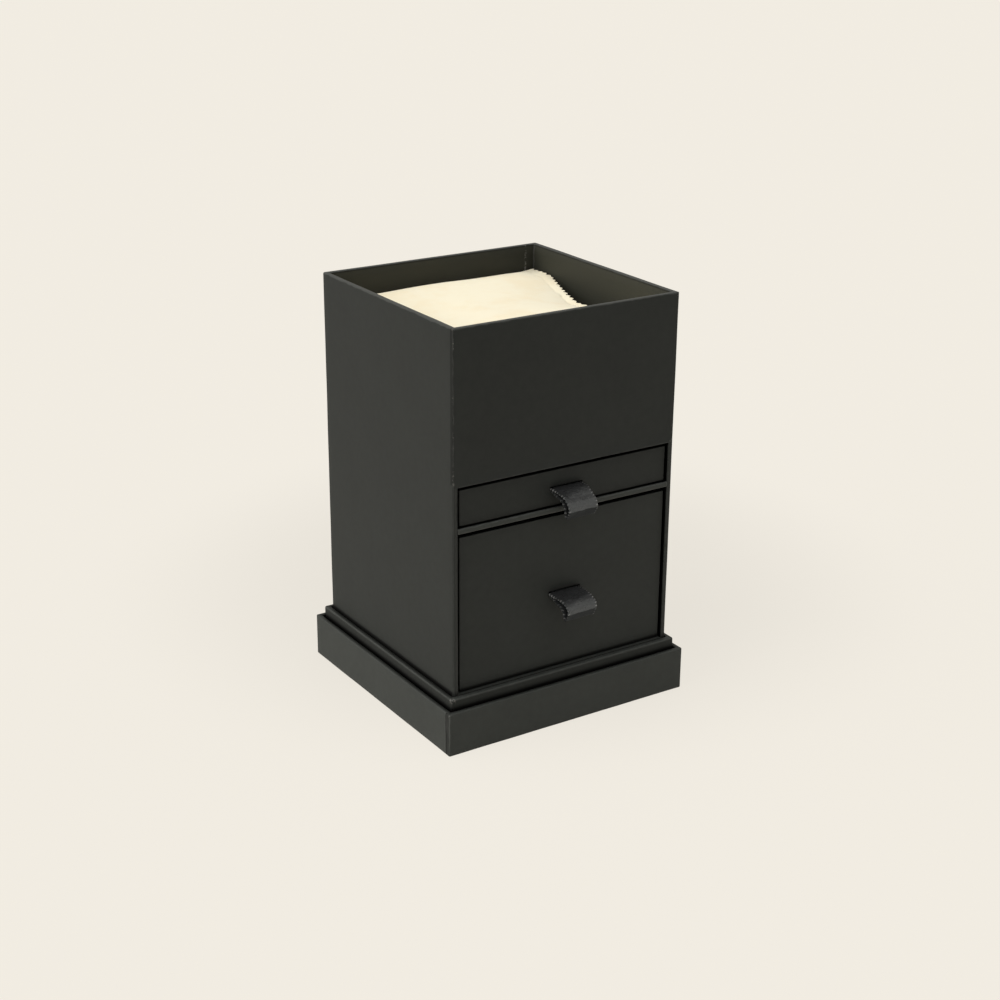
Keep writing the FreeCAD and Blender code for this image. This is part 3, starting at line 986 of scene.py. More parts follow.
def sharpen_uprights(bm, low, high):
    """Draws the front uprights above the window out to the raw edge of the front sheet."""
    reach_low = Vector((low.x - MM, low.y - MM, JOINT_TOP - MM))
    reach_high = Vector((high.x + MM, low.y + 2 * MM, JOINT_TOP + MM))
    cut_at(bm, 2, [JOINT_TOP, JOINT_TOP + CREASE], reach_low, reach_high)
    for v in bm.verts:
        side = math.copysign(1, v.co.x)
        soft = Vector((side * (high.x - TOWER_CORNER), low.y + TOWER_CORNER, v.co.z))
        raw = Vector((side * (high.x - RAW_CORNER), low.y + RAW_CORNER, v.co.z))
        from_soft = v.co - soft
        if v.co.z > JOINT_TOP + TINY and from_soft.x * side > -TINY and from_soft.y < TINY:
            v.co = raw + from_soft * (RAW_CORNER / TOWER_CORNER)


print("joints climb to", round(JOINT_TOP / MM, 1), "mm")

# %% [markdown]
# ## Tower covering
# The sheet is shaped by the tools above. Its marks tell how it was made and used, and where
# light falls: rubbed grey and painted highlight at the rim, the raw uprights and the joints;
# painted shade in the bay, at the foot, beside the front left upright and under the inner
# rim; and a thin dark line on the back, where the sheet's two ends meet.

# %% Tower covering
RIM_TURN_IN = 15.0 * MM
TAB_WIDTH = 3.2 * MM          # the turned-in sheet laps this far round its last corner
BACK_SEAM = 30.0 * MM         # where the sheet's two ends meet, from the middle of the back


def stile_at(side, low):
    """The face of the stile at the left (-1) or right (1) of the window."""
    limits = sorted((side * BAY_HALF, side * (abs(low.x) - TOWER_CORNER)))
    return region(x=limits, y=(low.y - MM, low.y + 0.1 * MM), z=(BAY_LOW, BAY_HIGH))


def tower_rubs_and_highlights(low, high):
    """Where the tower's paper goes to an even grey, partly rubbed and partly a painted highlight
    where its rim, uprights, stiles and joints catch the light.
    """
    rim = region(z=(high.z - 0.12 * MM, FAR))
    inner_corner = Vector((high.x - TOWER_WALL, high.y - TOWER_WALL, 0))
    beside_seam = Vector((BACK_SEAM - 0.4 * MM, high.y, 0))
    panel_edge = region(x=(-BAY_HALF, BAY_HALF), y=(low.y - MM, low.y + 0.1 * MM),
                        z=(BAY_HIGH + 0.15 * MM, BAY_HIGH + 0.25 * MM))
    joint_middle = tip_at(high.x - 1.0 * MM, low.y, BAY_HIGH + 0.5 * MM, half=0.15 * MM)
    joint_end = tip_at(high.x - 0.5 * MM, low.y, BAY_HIGH + 0.9 * MM, half=0.15 * MM)
    return [mark(rim, reach=0.25, strength=0.40),
            mark(post_at(inner_corner, half=0.12 * MM), reach=0.25, strength=0.80),
            mark(post_at(low, half=0.1 * MM, foot=JOINT_TOP), reach=0.25, strength=0.40),
            mark(post_at(beside_seam, half=0.1 * MM), reach=0.2, strength=0.30),
            mark(stile_at(-1, low), reach=0.2, strength=0.14),
            mark(stile_at(1, low), reach=0.2, strength=0.14),
            mark(panel_edge, reach=0.2, strength=0.24),
            mark(joint_middle, reach=0.2, strength=0.5), mark(joint_end, reach=0.2, strength=0.7)]


def tower_wear(low, high):
    """Where it is broken into specks: the raw upright, the tab's end and two tips."""
    tab_end = Vector((high.x - TOWER_WALL - TAB_WIDTH, high.y - TOWER_WALL, 0))
    top_tip = tip_at(low.x, low.y, high.z, half=0.3 * MM)
    joint_tip = tip_at(low.x, low.y, JOINT_TOP, half=0.25 * MM)
    return [mark(post_at(low, half=0.25 * MM, foot=JOINT_TOP), reach=0.25, strength=0.42),
            mark(post_at(tab_end, half=0.15 * MM), reach=0.3, strength=0.58),
            mark(top_tip, reach=0.5, strength=0.6), mark(joint_tip, reach=0.4, strength=0.75)]


def tower_shade_marks(low, high):
    """Where painted shade darkens it: along its foot, in the bay, on the strip beside the front
    left upright, under the inner rim, and in the line of the back seam.
    """
    neck_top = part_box("neck_wrap")[1].z
    foot = region(y=(low.y + 1.2 * MM, FAR), z=(-FAR, neck_top + 0.5 * MM))
    bay = region(x=(-BAY_HALF - MM, BAY_HALF + MM), y=(low.y + 0.55 * MM, low.y + BAY_TURN_IN),
                 z=(BAY_LOW - MM, BAY_HIGH + MM))
    lap_shade = strip_by_corner(low, 0.3 * MM, 1.1 * MM, foot=JOINT_TOP)
    back_seam = post_at(Vector((BACK_SEAM, high.y, 0)), half=0.06 * MM)
    below_rim = region(x=(low.x + TOWER_WALL, high.x - TOWER_WALL),
                       y=(low.y + TOWER_WALL, high.y - TOWER_WALL),
                       z=(high.z - 0.45 * MM, high.z - 0.25 * MM))
    return [mark(region(z=(-FAR, neck_top)), reach=2.2, strength=0.4),
            mark(foot, reach=0.9, strength=0.8), mark(bay, reach=0.3, strength=0.95),
            mark(lap_shade, reach=0.35, strength=0.42), mark(back_seam, reach=0.15, strength=0.8),
            mark(below_rim, reach=0.2, strength=0.45)]


def make_tower_paper():
    low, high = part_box("tower_wrap")
    bm = paper_sheet(low, high, TOWER_WALL, turn_in=RIM_TURN_IN)
    face_outwards(bm)
    cut_window(bm, low, high)
    face_outwards(bm)
    round_edges(bm, window_edges(bm, low.y), WINDOW_EDGE)
    round_box(bm, low, high, TOWER_WALL, corner=TOWER_CORNER, outer_rim=0.3 * MM,
              inner_rim=0.3 * MM)
    for side in (-1, 1):
        press_joint(bm, side, low, high)
    sharpen_uprights(bm, low, high)
    grid_cuts(bm, low, high, GRID)
    settle(bm, depth=0.06 * MM, spread=14 * MM, seed=3.0)
    wall = Vector((TOWER_WALL, TOWER_WALL, 0))
    finish = covering_paper(
        "tower_paper", low, high, TOWER_TONE, inner=(low + wall, high - wall),
        rubs_and_highlights=tower_rubs_and_highlights(low, high), wear=tower_wear(low, high), shade_marks=tower_shade_marks(low, high))
    new_piece("tower_paper", bm, finish, "case", ["tower_wrap"], PAPER)


make_tower_paper()

# %% [markdown]
# ## Rail between the drawers
# The shelf's front edge shows as a thin rail. It is a board covered with the same paper, so
# its long front edges are rounded by the paper that wraps them.

# %% Rail
def make_shelf():
    low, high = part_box("drawer_shelf")
    bm = box_between(low, high)
    front = edges_where(bm, lambda p: near(p.y, low.y) and not near(p.z, (low.z + high.z) / 2))
    long_edges = [e for e in front if near(e.verts[0].co.z, e.verts[1].co.z)]
    round_edges(bm, long_edges, radius=0.4 * MM, segments=4)
    grid_cuts(bm, low, high, GRID)
    settle(bm, depth=0.04 * MM, spread=7 * MM, seed=4.0)
    # painted shade on the rail's top behind the drawer fronts, and a stronger painted highlight
    # along its rounded edges
    behind = region(y=(low.y + 0.75 * MM, FAR), z=(high.z - 0.2 * MM, FAR))
    finish = covering_paper("rail_paper", low, high, RAIL_TONE, edge_rub_and_highlight=0.45,
                            shade_marks=[mark(behind, reach=0.3, strength=0.97)])
    new_piece("shelf_rail", bm, finish, "case", ["drawer_shelf"])


make_shelf()

# %% [markdown]
# ## Drawers
# Each drawer is a wrapped tray of its own, a little smaller than its bay. A slit in the
# front takes the ribbon, and its paper edges are pressed slightly inwards.

# %% Drawers
DRAWER_WALL = board_of("lower_drawer_left") + 2 * PAPER
DRAWER_CORNER = 0.5 * MM
DRAWER_RIM = 0.25 * MM
DRAWER_TURN_IN = 6.0 * MM
DRAWER_TURN_UNDER = 8.0 * MM
SLIT_BELOW_MIDDLE = 0.45 * MM
SLIT_UNDER = 0.5 * MM
SLIT_OVER = 0.9 * MM
SLIT_SPARE = 0.1 * MM
SLIT_EDGE = 0.12 * MM


def slit_of(drawer):
    """The slit's lowest and highest corner on the front of a drawer."""
    low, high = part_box(drawer + "_wrap")
    ribbon_low, ribbon_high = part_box(drawer + "_pull")
    middle = (low.z + high.z) / 2 - SLIT_BELOW_MIDDLE
    return (Vector((ribbon_low.x - SLIT_SPARE, low.y, middle - SLIT_UNDER)),
            Vector((ribbon_high.x + SLIT_SPARE, low.y, middle + SLIT_OVER)))


def cut_slit(bm, slit_low, slit_high):
    """Opens the slit and turns its edges into the board."""
    front = region(y=(slit_low.y - TINY, slit_low.y + TINY))
    cut_at(bm, 0, [slit_low.x, slit_high.x], *front)
    cut_at(bm, 2, [slit_low.z, slit_high.z], *front)
    spare = Vector((TINY, TINY, TINY))
    reach = (slit_low - spare, slit_high + spare)
    hole = [f for f in bm.faces if inside(f.calc_center_median(), *reach)]
    bmesh.ops.delete(bm, geom=hole, context="FACES")
    rim = [e for e in edges_where(bm, lambda p: inside(p, *reach)) if e.is_boundary]
    draw_out(bm, rim, (0, DRAWER_WALL, 0))
    round_edges(bm, rim, SLIT_EDGE, segments=2)


def make_drawer_paper(drawer, foot, seed):
    """A drawer's covering; foot is the height of the painted shade along its lower edge."""
    low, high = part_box(drawer + "_wrap")
    bm = paper_sheet(low, high, DRAWER_WALL, DRAWER_TURN_IN, DRAWER_TURN_UNDER)
    face_outwards(bm)
    cut_slit(bm, *slit_of(drawer))
    face_outwards(bm)
    round_box(bm, low, high, DRAWER_WALL, DRAWER_CORNER, DRAWER_RIM, DRAWER_RIM, DRAWER_RIM)
    grid_cuts(bm, low, high, GRID)
    settle(bm, depth=0.05 * MM, spread=12 * MM, seed=seed)
    # painted shade on the drawer's sides just behind its front, where the gap to the bay is dark,
    # and along its lower edge
    behind_front = region(y=(low.y + 0.6 * MM, low.y + 1.0 * MM))
    foot_shade = region(z=(-FAR, low.z + foot))
    finish = covering_paper(drawer + "_paper", low, high, DRAWER_TONES[drawer],
                            shade_marks=[mark(behind_front, reach=0.45, strength=0.95),
                                    mark(foot_shade, reach=2.5 * foot / MM, strength=0.8)])
    new_piece(drawer + "_paper", bm, finish, drawer, [drawer + "_wrap"], PAPER)


make_drawer_paper("upper_drawer", foot=0.1 * MM, seed=5.0)
make_drawer_paper("lower_drawer", foot=0.4 * MM, seed=6.0)

# %% [markdown]
# ## Ribbon material
# The pulls are black grosgrain: fine ribs run across the ribbon, it shines a little where it
# bends, and its two selvedges are bound with a thread that goes over and under. The material
# works in the ribbon's own map, in millimetres: across its width, and along it from its
# fold. Just before the fold the ribbon turns under. There it is rougher, so dull, and painted
# shade makes it dark.

# %% Ribbon material
RIBBON_WIDTH = 10.8
RIBBON_TONE = 0.020
RIBBON_TINT = (0.96, 0.98, 1.04)
RIBBON_SHINE = (0.88, 0.95, 1.0, 1.0)
RIBBON_GLOSS = 0.8
RIBBON_ROUGHNESS = (0.24, 0.48)
RIBBON_SWING = 0.15
RIBBON_LEAST, RIBBON_MOST = 0.6, 1.7
RIB_PITCH = 0.32
STREAK_STRETCH = (0.35, 1.8, 1.0)
UNDERSIDE_SHADE_SPAN = (-3.3, -2.7)   # along the ribbon, where it turns under to its fold and painted shade darkens it
SELVEDGE = 0.7
SELVEDGE_TONE = 0.006
SELVEDGE_SHARE = 0.7
STITCH_PITCH = 1.1
STITCH_LEAN = 2.0
STITCH_TONE = 0.24
STITCH_IN_SHADE = 0.45           # how much of a stitch shows in the painted shade on the side turned under
WEAVE_HEIGHTS = (0.15, 5.0, 2.0)   # ribs, crinkles and stitches
WEAVE_STRENGTH = 0.7
WEAVE_DEPTH = 0.05


def ribbon_stitches(tree, run, across, along, selvedge):
    """1 where the binding thread shows on a selvedge, broken where it has worn."""
    turn = weigh(tree, (along, across), (2 * math.pi / STITCH_PITCH, STITCH_LEAN))
    stitch = remap(tree, calculate(tree, "SINE", turn), 0.2, 0.95)
    worn = remap(tree, speckle(tree, run, 3.0), 0.38, 0.56)
    return times(tree, selvedge, times(tree, stitch, worn))


def ribbon_material():
    material, tree, principled = new_material("ribbon", Specular_IOR_Level=RIBBON_GLOSS,
                                              Specular_Tint=RIBBON_SHINE)
    run = add(tree, "ShaderNodeUVMap", uv_map="run").outputs["UV"]
    split = add(tree, "ShaderNodeSeparateXYZ", {"Vector": run}).outputs
    across, along = split["X"], split["Y"]
    selvedge = remap(tree, calculate(tree, "ABSOLUTE", across), RIBBON_WIDTH / 2 - SELVEDGE,
                     RIBBON_WIDTH / 2 - SELVEDGE / 2)
    # painted shade where the ribbon turns under to its fold: there it goes to near black, its
    # stitches fade, and it is rougher
    under = remap(tree, along, *UNDERSIDE_SHADE_SPAN)
    bound = times(tree, ribbon_stitches(tree, run, across, along, selvedge),
                  remap(tree, under, 0.0, 1.0, 1.0, STITCH_IN_SHADE))
    streak = speckle(tree, vectors(tree, "MULTIPLY", run, STREAK_STRETCH), 1.0, 5.0, 0.68)
    colour = mottled(tree, streak, RIBBON_SWING, RIBBON_TONE, RIBBON_TINT, RIBBON_LEAST,
                     RIBBON_MOST)
    colour = mix_colour(tree, times(tree, selvedge, SELVEDGE_SHARE), colour, tinted(SELVEDGE_TONE))
    colour = mix_colour(tree, under, colour, SHADE_BLACK)
    colour = mix_colour(tree, bound, colour, tinted(STITCH_TONE))
    feed(tree, principled.inputs["Base Color"], colour)
    crinkle = speckle(tree, run, 1.3, 4.0, 0.65)
    shine = remap(tree, crinkle, 0.3, 0.7, *RIBBON_ROUGHNESS)
    feed(tree, principled.inputs["Roughness"], calculate(tree, "ADD", shine, under))
    ribs = calculate(tree, "SINE", times(tree, along, 2 * math.pi / RIB_PITCH))
    height = weigh(tree, (ribs, crinkle, bound), WEAVE_HEIGHTS)
    roughen(tree, principled, height, WEAVE_STRENGTH, WEAVE_DEPTH)
    return material


RIBBON = ribbon_material()
print("ribbon", RIBBON_WIDTH, "mm wide")

# %% [markdown]
# ## Line of a ribbon
# A pull is a ribbon folded in half: both layers go into the slit, and outside they make a
# drooping loop. It is drawn from the side as a line of few corners, the corners are rounded,
# and the line is swept across the ribbon's width.

# %% Line of a ribbon
RIBBON_THICK = 0.4 * MM
RIBBON_COLUMNS = 26
PATH_STEP = 0.3 * MM          # the longest edge along the line
SLIT_BEND = 0.15              # these and the next are in millimetres
NOSE_BACK, NOSE_ABOVE_FOLD, NOSE_RADIUS = 0.2, 2.8, 1.0
FOLD_BACK, FOLD_RADIUS = 2.0, 0.4
UNDERSIDE_BACK, UNDERSIDE_DROP, UNDERSIDE_RADIUS = 3.2, 2.3, 2.6


def ribbon_path(reach, drop, tail, shoulder):
    """Corners (outwards, upwards) from the slit's middle and the radius at each, in mm.

    The line starts with a tail inside the front, comes out of the slit, goes over the
    shoulder's own corners and round the nose to the fold, and returns below to the slit.
    """
    thick = RIBBON_THICK / MM
    wall = DRAWER_WALL / MM
    nose = (reach - NOSE_BACK, NOSE_ABOVE_FOLD - drop)
    fold = (reach - FOLD_BACK, -drop)
    underside = (reach - UNDERSIDE_BACK, -UNDERSIDE_DROP)
    return [((-wall, tail), 0), ((-wall, thick), SLIT_BEND), *shoulder, (nose, NOSE_RADIUS),
            (fold, FOLD_RADIUS), (underside, UNDERSIDE_RADIUS), ((0.0, -thick), 0),
            ((-wall - thick, -thick), 0)]


def order_chain(bm):
    """The verts of a wire from its first end to its last."""
    end = next(v for v in bm.verts if len(v.link_edges) == 1 and v.index <= 0)
    ordered, edge = [end], end.link_edges[0]
    while edge:
        ordered.append(edge.other_vert(ordered[-1]))
        edge = next((e for e in ordered[-1].link_edges if e is not edge), None)
    return ordered


def rounded_line(bm, corners, start_x, face_y, slit_z):
    """The line of corners as a wire of short edges, with each corner rounded."""
    chain = [bm.verts.new((start_x, face_y - out * MM, slit_z + up * MM))
             for (out, up), _ in corners]
    for pair in zip(chain, chain[1:]):
        bm.edges.new(pair)
    for vert, (_, radius) in zip(chain, corners):
        if radius:
            ways = [(e.other_vert(vert).co - vert.co).normalized() for e in vert.link_edges]
            half = ways[0].angle(ways[1]) / 2
            bmesh.ops.bevel(bm, geom=[vert], offset=radius * MM / math.tan(half), segments=8,
                            profile=0.5, affect="VERTICES", offset_type="OFFSET")
    while long_edges := [e for e in bm.edges if e.calc_length() > PATH_STEP]:
        bmesh.ops.subdivide_edges(bm, edges=long_edges, cuts=1)


def sweep_ribbon(corners, middle_x, face_y, slit_z):
    """The rounded line swept across the ribbon's width, each vert with its length along it."""
    bm = bmesh.new()
    length_of = bm.verts.layers.float.new("length")
    rounded_line(bm, corners, middle_x - RIBBON_WIDTH / 2 * MM, face_y, slit_z)
    rows = order_chain(bm)
    total = 0.0
    for before, row in zip([rows[0], *rows], rows):
        total += (row.co - before.co).length
        row[length_of] = total
    front = list(bm.edges)
    for _ in range(RIBBON_COLUMNS):
        front = draw_out(bm, front, (RIBBON_WIDTH * MM / RIBBON_COLUMNS, 0, 0))
    return bm, length_of, total


print("ribbon", RIBBON_COLUMNS, "columns wide")

# %% [markdown]
# ## Ribbon pulls
# The swept loop is bent a little askew, since cloth never hangs square: its right side hangs
# back and sags, and slow waves run through it. Both selvedges are scalloped by their binding
# thread. Before that, while it is still straight, it gets its own map.

# %% Ribbon pulls
SCALLOP = 0.10 * MM
SAG_SHARE = 0.35              # the right side sags by this share of how far it hangs back
SAG_START, SAG_LENGTH = 0.25, 0.5   # shares of the reach
SWAY = 0.25 * MM
WAVE_UP, WAVE_OUT = 0.30 * MM, 0.22 * MM
WAVE_ALONG, WAVE_ACROSS = 4, 1.6
UP_GROWTH, OUT_GROWTH = 6, 2  # how soon outside the slit the waves are full


def map_ribbon(bm, length_of, middle_x):
    """The ribbon's own map in millimetres: across from its middle, along from its fold."""
    fold = min(bm.verts, key=lambda v: v.co.z)[length_of]
    run = bm.loops.layers.uv.new("run")
    for face in bm.faces:
        for loop in face.loops:
            across = (loop.vert.co.x - middle_x) / MM
            loop[run].uv = (across, (loop.vert[length_of] - fold) / MM)


def bend_ribbon(bm, length_of, middle_x, face_y, reach, askew, seed):
    """Scallops the selvedges and lets the loop hang askew."""
    for v in bm.verts:
        side = (v.co.x - middle_x) / (RIBBON_WIDTH / 2 * MM)
        length = v[length_of] / MM
        if abs(side) > 0.99:
            v.co.x += math.copysign(SCALLOP, side) * math.sin(2 * math.pi * length / STITCH_PITCH)
        out = max(0.0, (face_y - v.co.y) / (reach * MM))
        right = 0.5 + 0.5 * side
        sag = min(1.0, max(0.0, (out - SAG_START) / SAG_LENGTH))
        v.co.y += askew * MM * out * right
        v.co.z -= SAG_SHARE * askew * MM * sag * sag * (3 - 2 * sag) * right
        v.co.x += SWAY * out * out
        wave = noise.noise(Vector((side * WAVE_ACROSS + seed, length / WAVE_ALONG, seed)))
        v.co.z += WAVE_UP * wave * min(1.0, out * UP_GROWTH)
        v.co.y += WAVE_OUT * wave * min(1.0, out * OUT_GROWTH)


def make_ribbon(drawer, reach, drop, tail, shoulder, askew, seed):
    slit_low, slit_high = slit_of(drawer)
    middle_x = (slit_low.x + slit_high.x) / 2
    bm, length_of, total = sweep_ribbon(ribbon_path(reach, drop, tail, shoulder), middle_x,
                                        slit_low.y, slit_low.z + SLIT_UNDER)
    map_ribbon(bm, length_of, middle_x)
    bend_ribbon(bm, length_of, middle_x, slit_low.y, reach, askew, seed)
    bmesh.ops.recalc_face_normals(bm, faces=bm.faces)
    foremost = min(bm.faces, key=lambda f: f.calc_center_median().y)
    if foremost.normal.y > 0:
        bmesh.ops.reverse_faces(bm, faces=bm.faces)
    piece = new_piece(drawer + "_ribbon", bm, RIBBON, drawer, [drawer + "_pull"],
                      RIBBON_THICK, sharp=60)
    print("ribbon length", round(total / MM, 1), "mm")


make_ribbon("upper_drawer", reach=9.4, drop=7.0, tail=3.6,
            shoulder=[((4.4, 0.5), 8.0), ((8.9, -2.0), 2.2)], askew=1.7, seed=3.0)
make_ribbon("lower_drawer", reach=9.8, drop=5.9, tail=9.0,
            shoulder=[((7.4, 0.3), 5.0), ((9.6, -1.4), 1.5)], askew=1.3, seed=8.0)

# %% [markdown]
# ## Suede and foam materials
# The cushion is covered in cream microsuede. Its nap scatters light softly, lies one way in
# some patches and the other way in others, and so shows faint lighter and darker clouds. The
# foam under it is dyed black, with open cells.

# %% Suede and foam materials
SUEDE = (0.985, 0.915, 0.715, 1)
SUEDE_SHADE = (0.940, 0.800, 0.540, 1)
NAP_PATCH = 1 / 0.09          # millimetres across a patch of nap that lies one way
NAP_TUFT = 1 / 2.6
NAP_SHARES = (0.42, 0.12)     # patches and tufts in the shade
FOAM_CELL = 1.6               # cells in a millimetre
FOAM_TONES = (0.012, 0.035)   # skin and open cell


def suede_material():
    material, tree, principled = new_material(
        "cream_suede", Roughness=0.92, Specular_IOR_Level=0.15, Sheen_Weight=0.25,
        Sheen_Roughness=0.5)
    place = millimetres(tree)
    tuft = speckle(tree, place, NAP_TUFT, 3.0, 0.7)
    cloud = remap(tree, speckle(tree, place, NAP_PATCH, 4.0, 0.6), 0.40, 0.68)
    share = weigh(tree, (cloud, remap(tree, tuft, 0.45, 0.75)), NAP_SHARES)
    feed(tree, principled.inputs["Base Color"], mix_colour(tree, share, SUEDE, SUEDE_SHADE))
    roughen(tree, principled, tuft, strength=0.35, depth=0.06)
    return material


def foam_material():
    material, tree, principled = new_material("black_foam", Roughness=0.95,
                                              Specular_IOR_Level=0.1)
    cells = add(tree, "ShaderNodeTexVoronoi", {"Vector": millimetres(tree), "Scale": FOAM_CELL},
                feature="F1").outputs["Distance"]
    hole = remap(tree, cells, 0.10, 0.55)
    skin, cell = (tinted(tone) for tone in FOAM_TONES)
    feed(tree, principled.inputs["Base Color"], mix_colour(tree, hole, skin, cell))
    roughen(tree, principled, hole, strength=0.8, depth=0.25)
    return material


SUEDE_CLOTH = suede_material()
FOAM = foam_material()
print("materials:", SUEDE_CLOTH.name, FOAM.name)

# %% [markdown]
# ## Shape of the cushion
# The cushion is a flat pillow. Its front and back are folds, and its two ends are sewn. The
# ends are drawn in at their middle, away from the walls, so a formula gives the seam's place
# at each depth. The blank is a box whose ends are pinched to that line.

# %% Cushion blank
CUSHION_LOW, CUSHION_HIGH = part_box("cushion_cover")
SEAM_WIDTH = 2.5 * MM
WAIST_PULL = 7.4 * MM          # how far the middle of each end is drawn in
WAIST_REACH = 24.0 * MM        # from the middle to where an end reaches the wall
WAIST_SOFT = 2.0 * MM
WAIST_POWER = 0.85
SEAM_CORNER_Z = CUSHION_HIGH.z - 0.2 * MM
SEAM_MIDDLE_Z = CUSHION_HIGH.z - 2.4 * MM
CLOTH_ROOM = (Vector((0, 0.3, 0.3)) * MM, Vector((0, 0.3, 0.1)) * MM)   # left for it to swell
BLANK_GRID = 1.5 * MM
FOLD_TAPER = 0.020             # the folds at front and back are this much shorter at top
PINCH_START = 0.72             # share of the way to an end where its pinch begins
MOST_PINCH = 0.94


def from_waist(y):
    """0 at the middle of an end and 1 where the end reaches the wall, at a depth y."""
    return min(1.0, math.hypot(y, WAIST_SOFT) / WAIST_REACH)


def seam_x(y):
    """How far from the middle the seam lies at a depth y."""
    return CUSHION_HIGH.x - SEAM_WIDTH - WAIST_PULL * (1 - from_waist(y)) ** WAIST_POWER


def seam_z(y):
    """The height of the seam at a depth y: it sags at its middle, and farther at the front."""
    return SEAM_MIDDLE_Z + (SEAM_CORNER_Z - SEAM_MIDDLE_Z) * from_waist(y) ** (1 if y > 0 else 4)


def cushion_blank():
    """The pillow before it is filled: flat, with its ends pinched to the seams."""
    low, high = CUSHION_LOW + CLOTH_ROOM[0], CUSHION_HIGH - CLOTH_ROOM[1]
    bm = box_between(low, high)
    grid_cuts(bm, low, high, BLANK_GRID)
    middle_z = (low.z + high.z) / 2
    for v in bm.verts:
        across = v.co.x / high.x
        height = (v.co.z - middle_z) / (high.z - middle_z)
        v.co.y *= 1 - FOLD_TAPER * height ** 6
        v.co.x = across * seam_x(v.co.y)
        pinch = max(0.0, (abs(across) - PINCH_START) / (1 - PINCH_START)) ** 1.6
        v.co.z += (seam_z(v.co.y) - v.co.z) * min(MOST_PINCH, pinch)
    return bm


print("cushion waist", round(2 * seam_x(0) / MM, 1), "mm wide")

# %% [markdown]
# ## Filling the cushion
# A pillow's look comes from air pressure against cloth that can't stretch, so it is
# simulated: the blank is remeshed into even cells, blown up a little with its seams held,
# and its travel is capped. Cloth simulation is unsteady at a few centimetres, so it runs ten
# times as large. After that come the puckers that run from the seams into the cushion.

# %% Filling the cushion
SIM_SCALE = 10.0
CELL = 0.9 * MM
HELD_WIDTH = 1.2 * MM          # this much cloth beside each seam is held
CLOTH_FRAMES = 20
CLOTH_QUALITY = 6
CLOTH_MASS = 0.3
AIR_PRESSURE = 4.0
MOST_TRAVEL = 1.6 * MM
PUCKER, PUCKER_PITCH, PUCKER_LENGTH = 0.25 * MM, 3.2 * MM, 5 * MM
PUCKER_DRIFT = 25 * MM         # a pucker changes slowly along its run
PUCKER_SEED = 7.0
WAIST_SAG, WAIST_SAG_HALF = 0.3 * MM, 9 * MM
LUMP, LUMP_SIZE = 0.35 * MM, 18 * MM
LUMP_SHIFT = Vector((3, 1, 4))
UNDERSIDE_GAP = 0.02 * MM


def bake_modifiers(piece):
    """Puts what the modifiers make into the mesh itself."""
    graph = bpy.context.evaluated_depsgraph_get()
    made = bpy.data.meshes.new_from_object(piece.evaluated_get(graph))
    piece.modifiers.clear()
    piece.data = made


def run_cloth(blank):
    """Blows the blank up with its seams held."""
    held = [v.index for v in blank.data.vertices
            if abs(v.co.x) > SIM_SCALE * (seam_x(v.co.y / SIM_SCALE) - HELD_WIDTH)]
    blank.vertex_groups.new(name="seam").add(held, 1.0, "REPLACE")
    cloth = blank.modifiers.new("cloth", "CLOTH")
    cloth.settings.quality = CLOTH_QUALITY
    cloth.settings.mass = CLOTH_MASS
    cloth.settings.use_pressure = True
    cloth.settings.uniform_pressure_force = AIR_PRESSURE
    cloth.settings.effector_weights.gravity = 0
    cloth.settings.vertex_group_mass = "seam"
    for frame_number in range(1, CLOTH_FRAMES + 1):
        bpy.context.scene.frame_set(frame_number)
    bake_modifiers(blank)
    bpy.context.scene.frame_set(1)


def fill_cushion(bm):
    """Remeshes the blank, blows it up and brings it back to its own size."""
    bmesh.ops.scale(bm, vec=Vector((1, 1, 1)) * SIM_SCALE, verts=bm.verts)
    blank = place_mesh("cushion_blank", bm)
    remesh = blank.modifiers.new("even", "REMESH")
    remesh.mode = "VOXEL"
    remesh.voxel_size = CELL * SIM_SCALE
    bake_modifiers(blank)
    before = [v.co.copy() for v in blank.data.vertices]
    run_cloth(blank)
    travel = max((v.co - start).length for v, start in zip(blank.data.vertices, before))
    print("cushion cells", len(before), "largest travel", round(travel / SIM_SCALE / MM, 2), "mm")
    bm = bmesh.new()
    bm.from_mesh(blank.data)
    for vert, start in zip(bm.verts, before):
        moved = (vert.co - start) / SIM_SCALE
        if moved.length > MOST_TRAVEL:
            moved *= MOST_TRAVEL / moved.length
        vert.co = start / SIM_SCALE + moved
    bpy.data.objects.remove(blank)
    return bm


def gather(bm):
    """Small puckers that run from the seams into the cushion, and its flat underside."""
    for v in bm.verts:
        from_seam = max(0.0, seam_x(v.co.y) - abs(v.co.x))
        fade = math.exp(-from_seam / PUCKER_LENGTH)
        ripple = noise.noise(Vector((v.co.x / PUCKER_DRIFT, v.co.y / PUCKER_PITCH, PUCKER_SEED)))
        waist = math.exp(-(v.co.y / WAIST_SAG_HALF) ** 2)
        v.co.z += PUCKER * ripple * fade - WAIST_SAG * waist
        v.co.z += LUMP * noise.noise(v.co / LUMP_SIZE + LUMP_SHIFT)
        v.co.z = max(v.co.z, CUSHION_LOW.z + UNDERSIDE_GAP)
        v.co.y = max(CUSHION_LOW.y, min(CUSHION_HIGH.y, v.co.y))


filled = fill_cushion(cushion_blank())
gather(filled)

# %% [markdown]
# ## Pinked seams
# Outside the seam at each end, two plies of cloth stand free, cut by pinking shears into
# small teeth so that they don't fray. Each ply is a grid whose outer row zigzags. Its inner
# part lies just under the cushion's skin, so no step shows where it comes out.

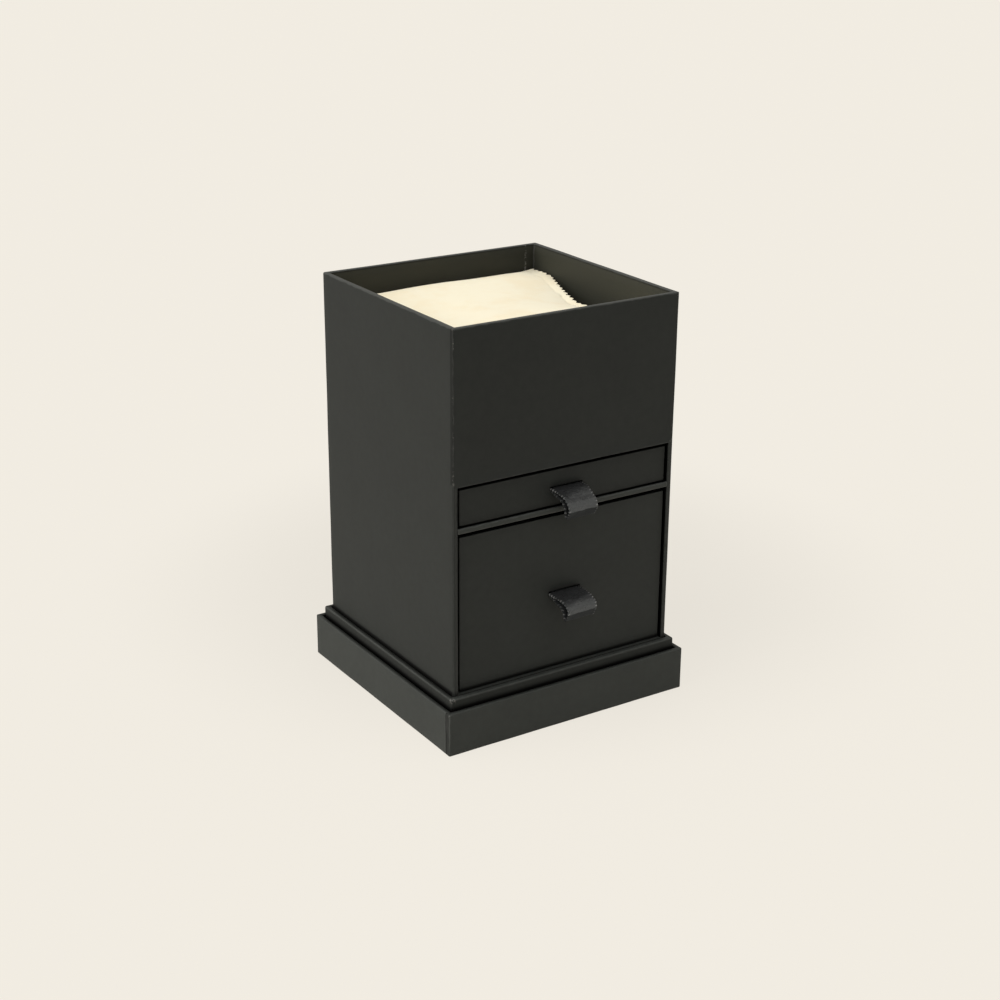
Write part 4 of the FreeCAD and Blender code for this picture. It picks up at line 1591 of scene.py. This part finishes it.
# %% Cushion with pinked seams
TOOTH_PITCH = 2.4 * MM
TOOTH_DEPTH = 1.0 * MM
STRIP_PLY = 0.45 * MM
STRIP_START = 3.0 * MM         # inside the seam
STRIP_COLUMNS = 8
STRIP_LENGTH = 0.99            # of the cushion's
STRIP_HIDDEN = 0.8             # share of its width over which it leaves the skin
EMERGE = 0.3 * MM
PLY_RISES = (0.05 * MM, -0.5 * MM)   # of the upper and the lower ply over the seam
PLY_SPREAD = 1.5
PLY_WAVE, PLY_WAVE_SIZE = 0.35 * MM, 5 * MM
PLY_SEEDS = {-1: -3.0, 1: 3.0}
CAST_FROM = 0.05


def skin_height(skins, x, y, upper):
    """The height of the cushion's upper or lower skin at a place, or its seam's if it has none."""
    way = -1 if upper else 1
    start = Vector((x, y, CUSHION_HIGH.z - way * CAST_FROM))
    hit = skins.ray_cast(start, Vector((0, 0, way)))[0]
    return hit.z if hit else seam_z(y)


def add_pinked_strip(bm, skins, side, rise):
    """One ply of the seam allowance on a side (-1 or 1), zigzag along its outer edge."""
    count = 2 * round(2 * CUSHION_HIGH.y / TOOTH_PITCH)
    made = bmesh.ops.create_grid(bm, x_segments=STRIP_COLUMNS, y_segments=count,
                                 size=0.5)["verts"]
    for v in made:
        outwards, place = v.co.x + 0.5, v.co.y + 0.5
        tooth = round(place * count) % 2
        y = CUSHION_LOW.y + place * (CUSHION_HIGH.y - CUSHION_LOW.y)
        width = STRIP_START + SEAM_WIDTH - (TOOTH_DEPTH * tooth if outwards > 0.99 else 0)
        wave = noise.noise(Vector((y / PLY_WAVE_SIZE, PLY_SEEDS[side], 1.5)))
        x = side * (seam_x(y) - STRIP_START + outwards * width)
        free = seam_z(y) + rise + (PLY_WAVE * wave + rise * PLY_SPREAD) * outwards ** 2
        y_laid = y * STRIP_LENGTH
        skin = skin_height(skins, x, y_laid, rise > 0) if outwards < STRIP_HIDDEN else free
        over = min(1.0, outwards / STRIP_HIDDEN)
        v.co = Vector((x, y_laid, skin * (1 - over) + free * over + EMERGE * (over - 0.5)))
    faces = {f for v in made for f in v.link_faces}
    if side < 0:
        bmesh.ops.reverse_faces(bm, faces=list(faces))
    bmesh.ops.solidify(bm, geom=[*made, *faces], thickness=STRIP_PLY)


def make_cushion(bm):
    skins = BVHTree.FromBMesh(bm)
    for side in (-1, 1):
        for rise in PLY_RISES:
            add_pinked_strip(bm, skins, side, rise)
    piece = new_piece("cushion", bm, SUEDE_CLOTH, "case",
                      ["cushion_cover", "cushion_filling"], sharp=50)


make_cushion(filled)

# %% [markdown]
# ## Foam
# A block of foam holds the cushion up. A knife cuts it, so its faces are flat but not
# smooth: the block is a rounded box, cut into a fine grid and settled deeper than paper.

# %% Foam
def make_foam():
    low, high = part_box("foam_riser")
    bm = box_between(low, high)
    round_edges(bm, list(bm.edges), 0.8 * MM)
    grid_cuts(bm, low, high, 2.0 * MM)
    settle(bm, depth=0.12 * MM, spread=3 * MM, seed=9.0)
    piece = new_piece("foam", bm, FOAM, "case", ["foam_riser"])


make_foam()
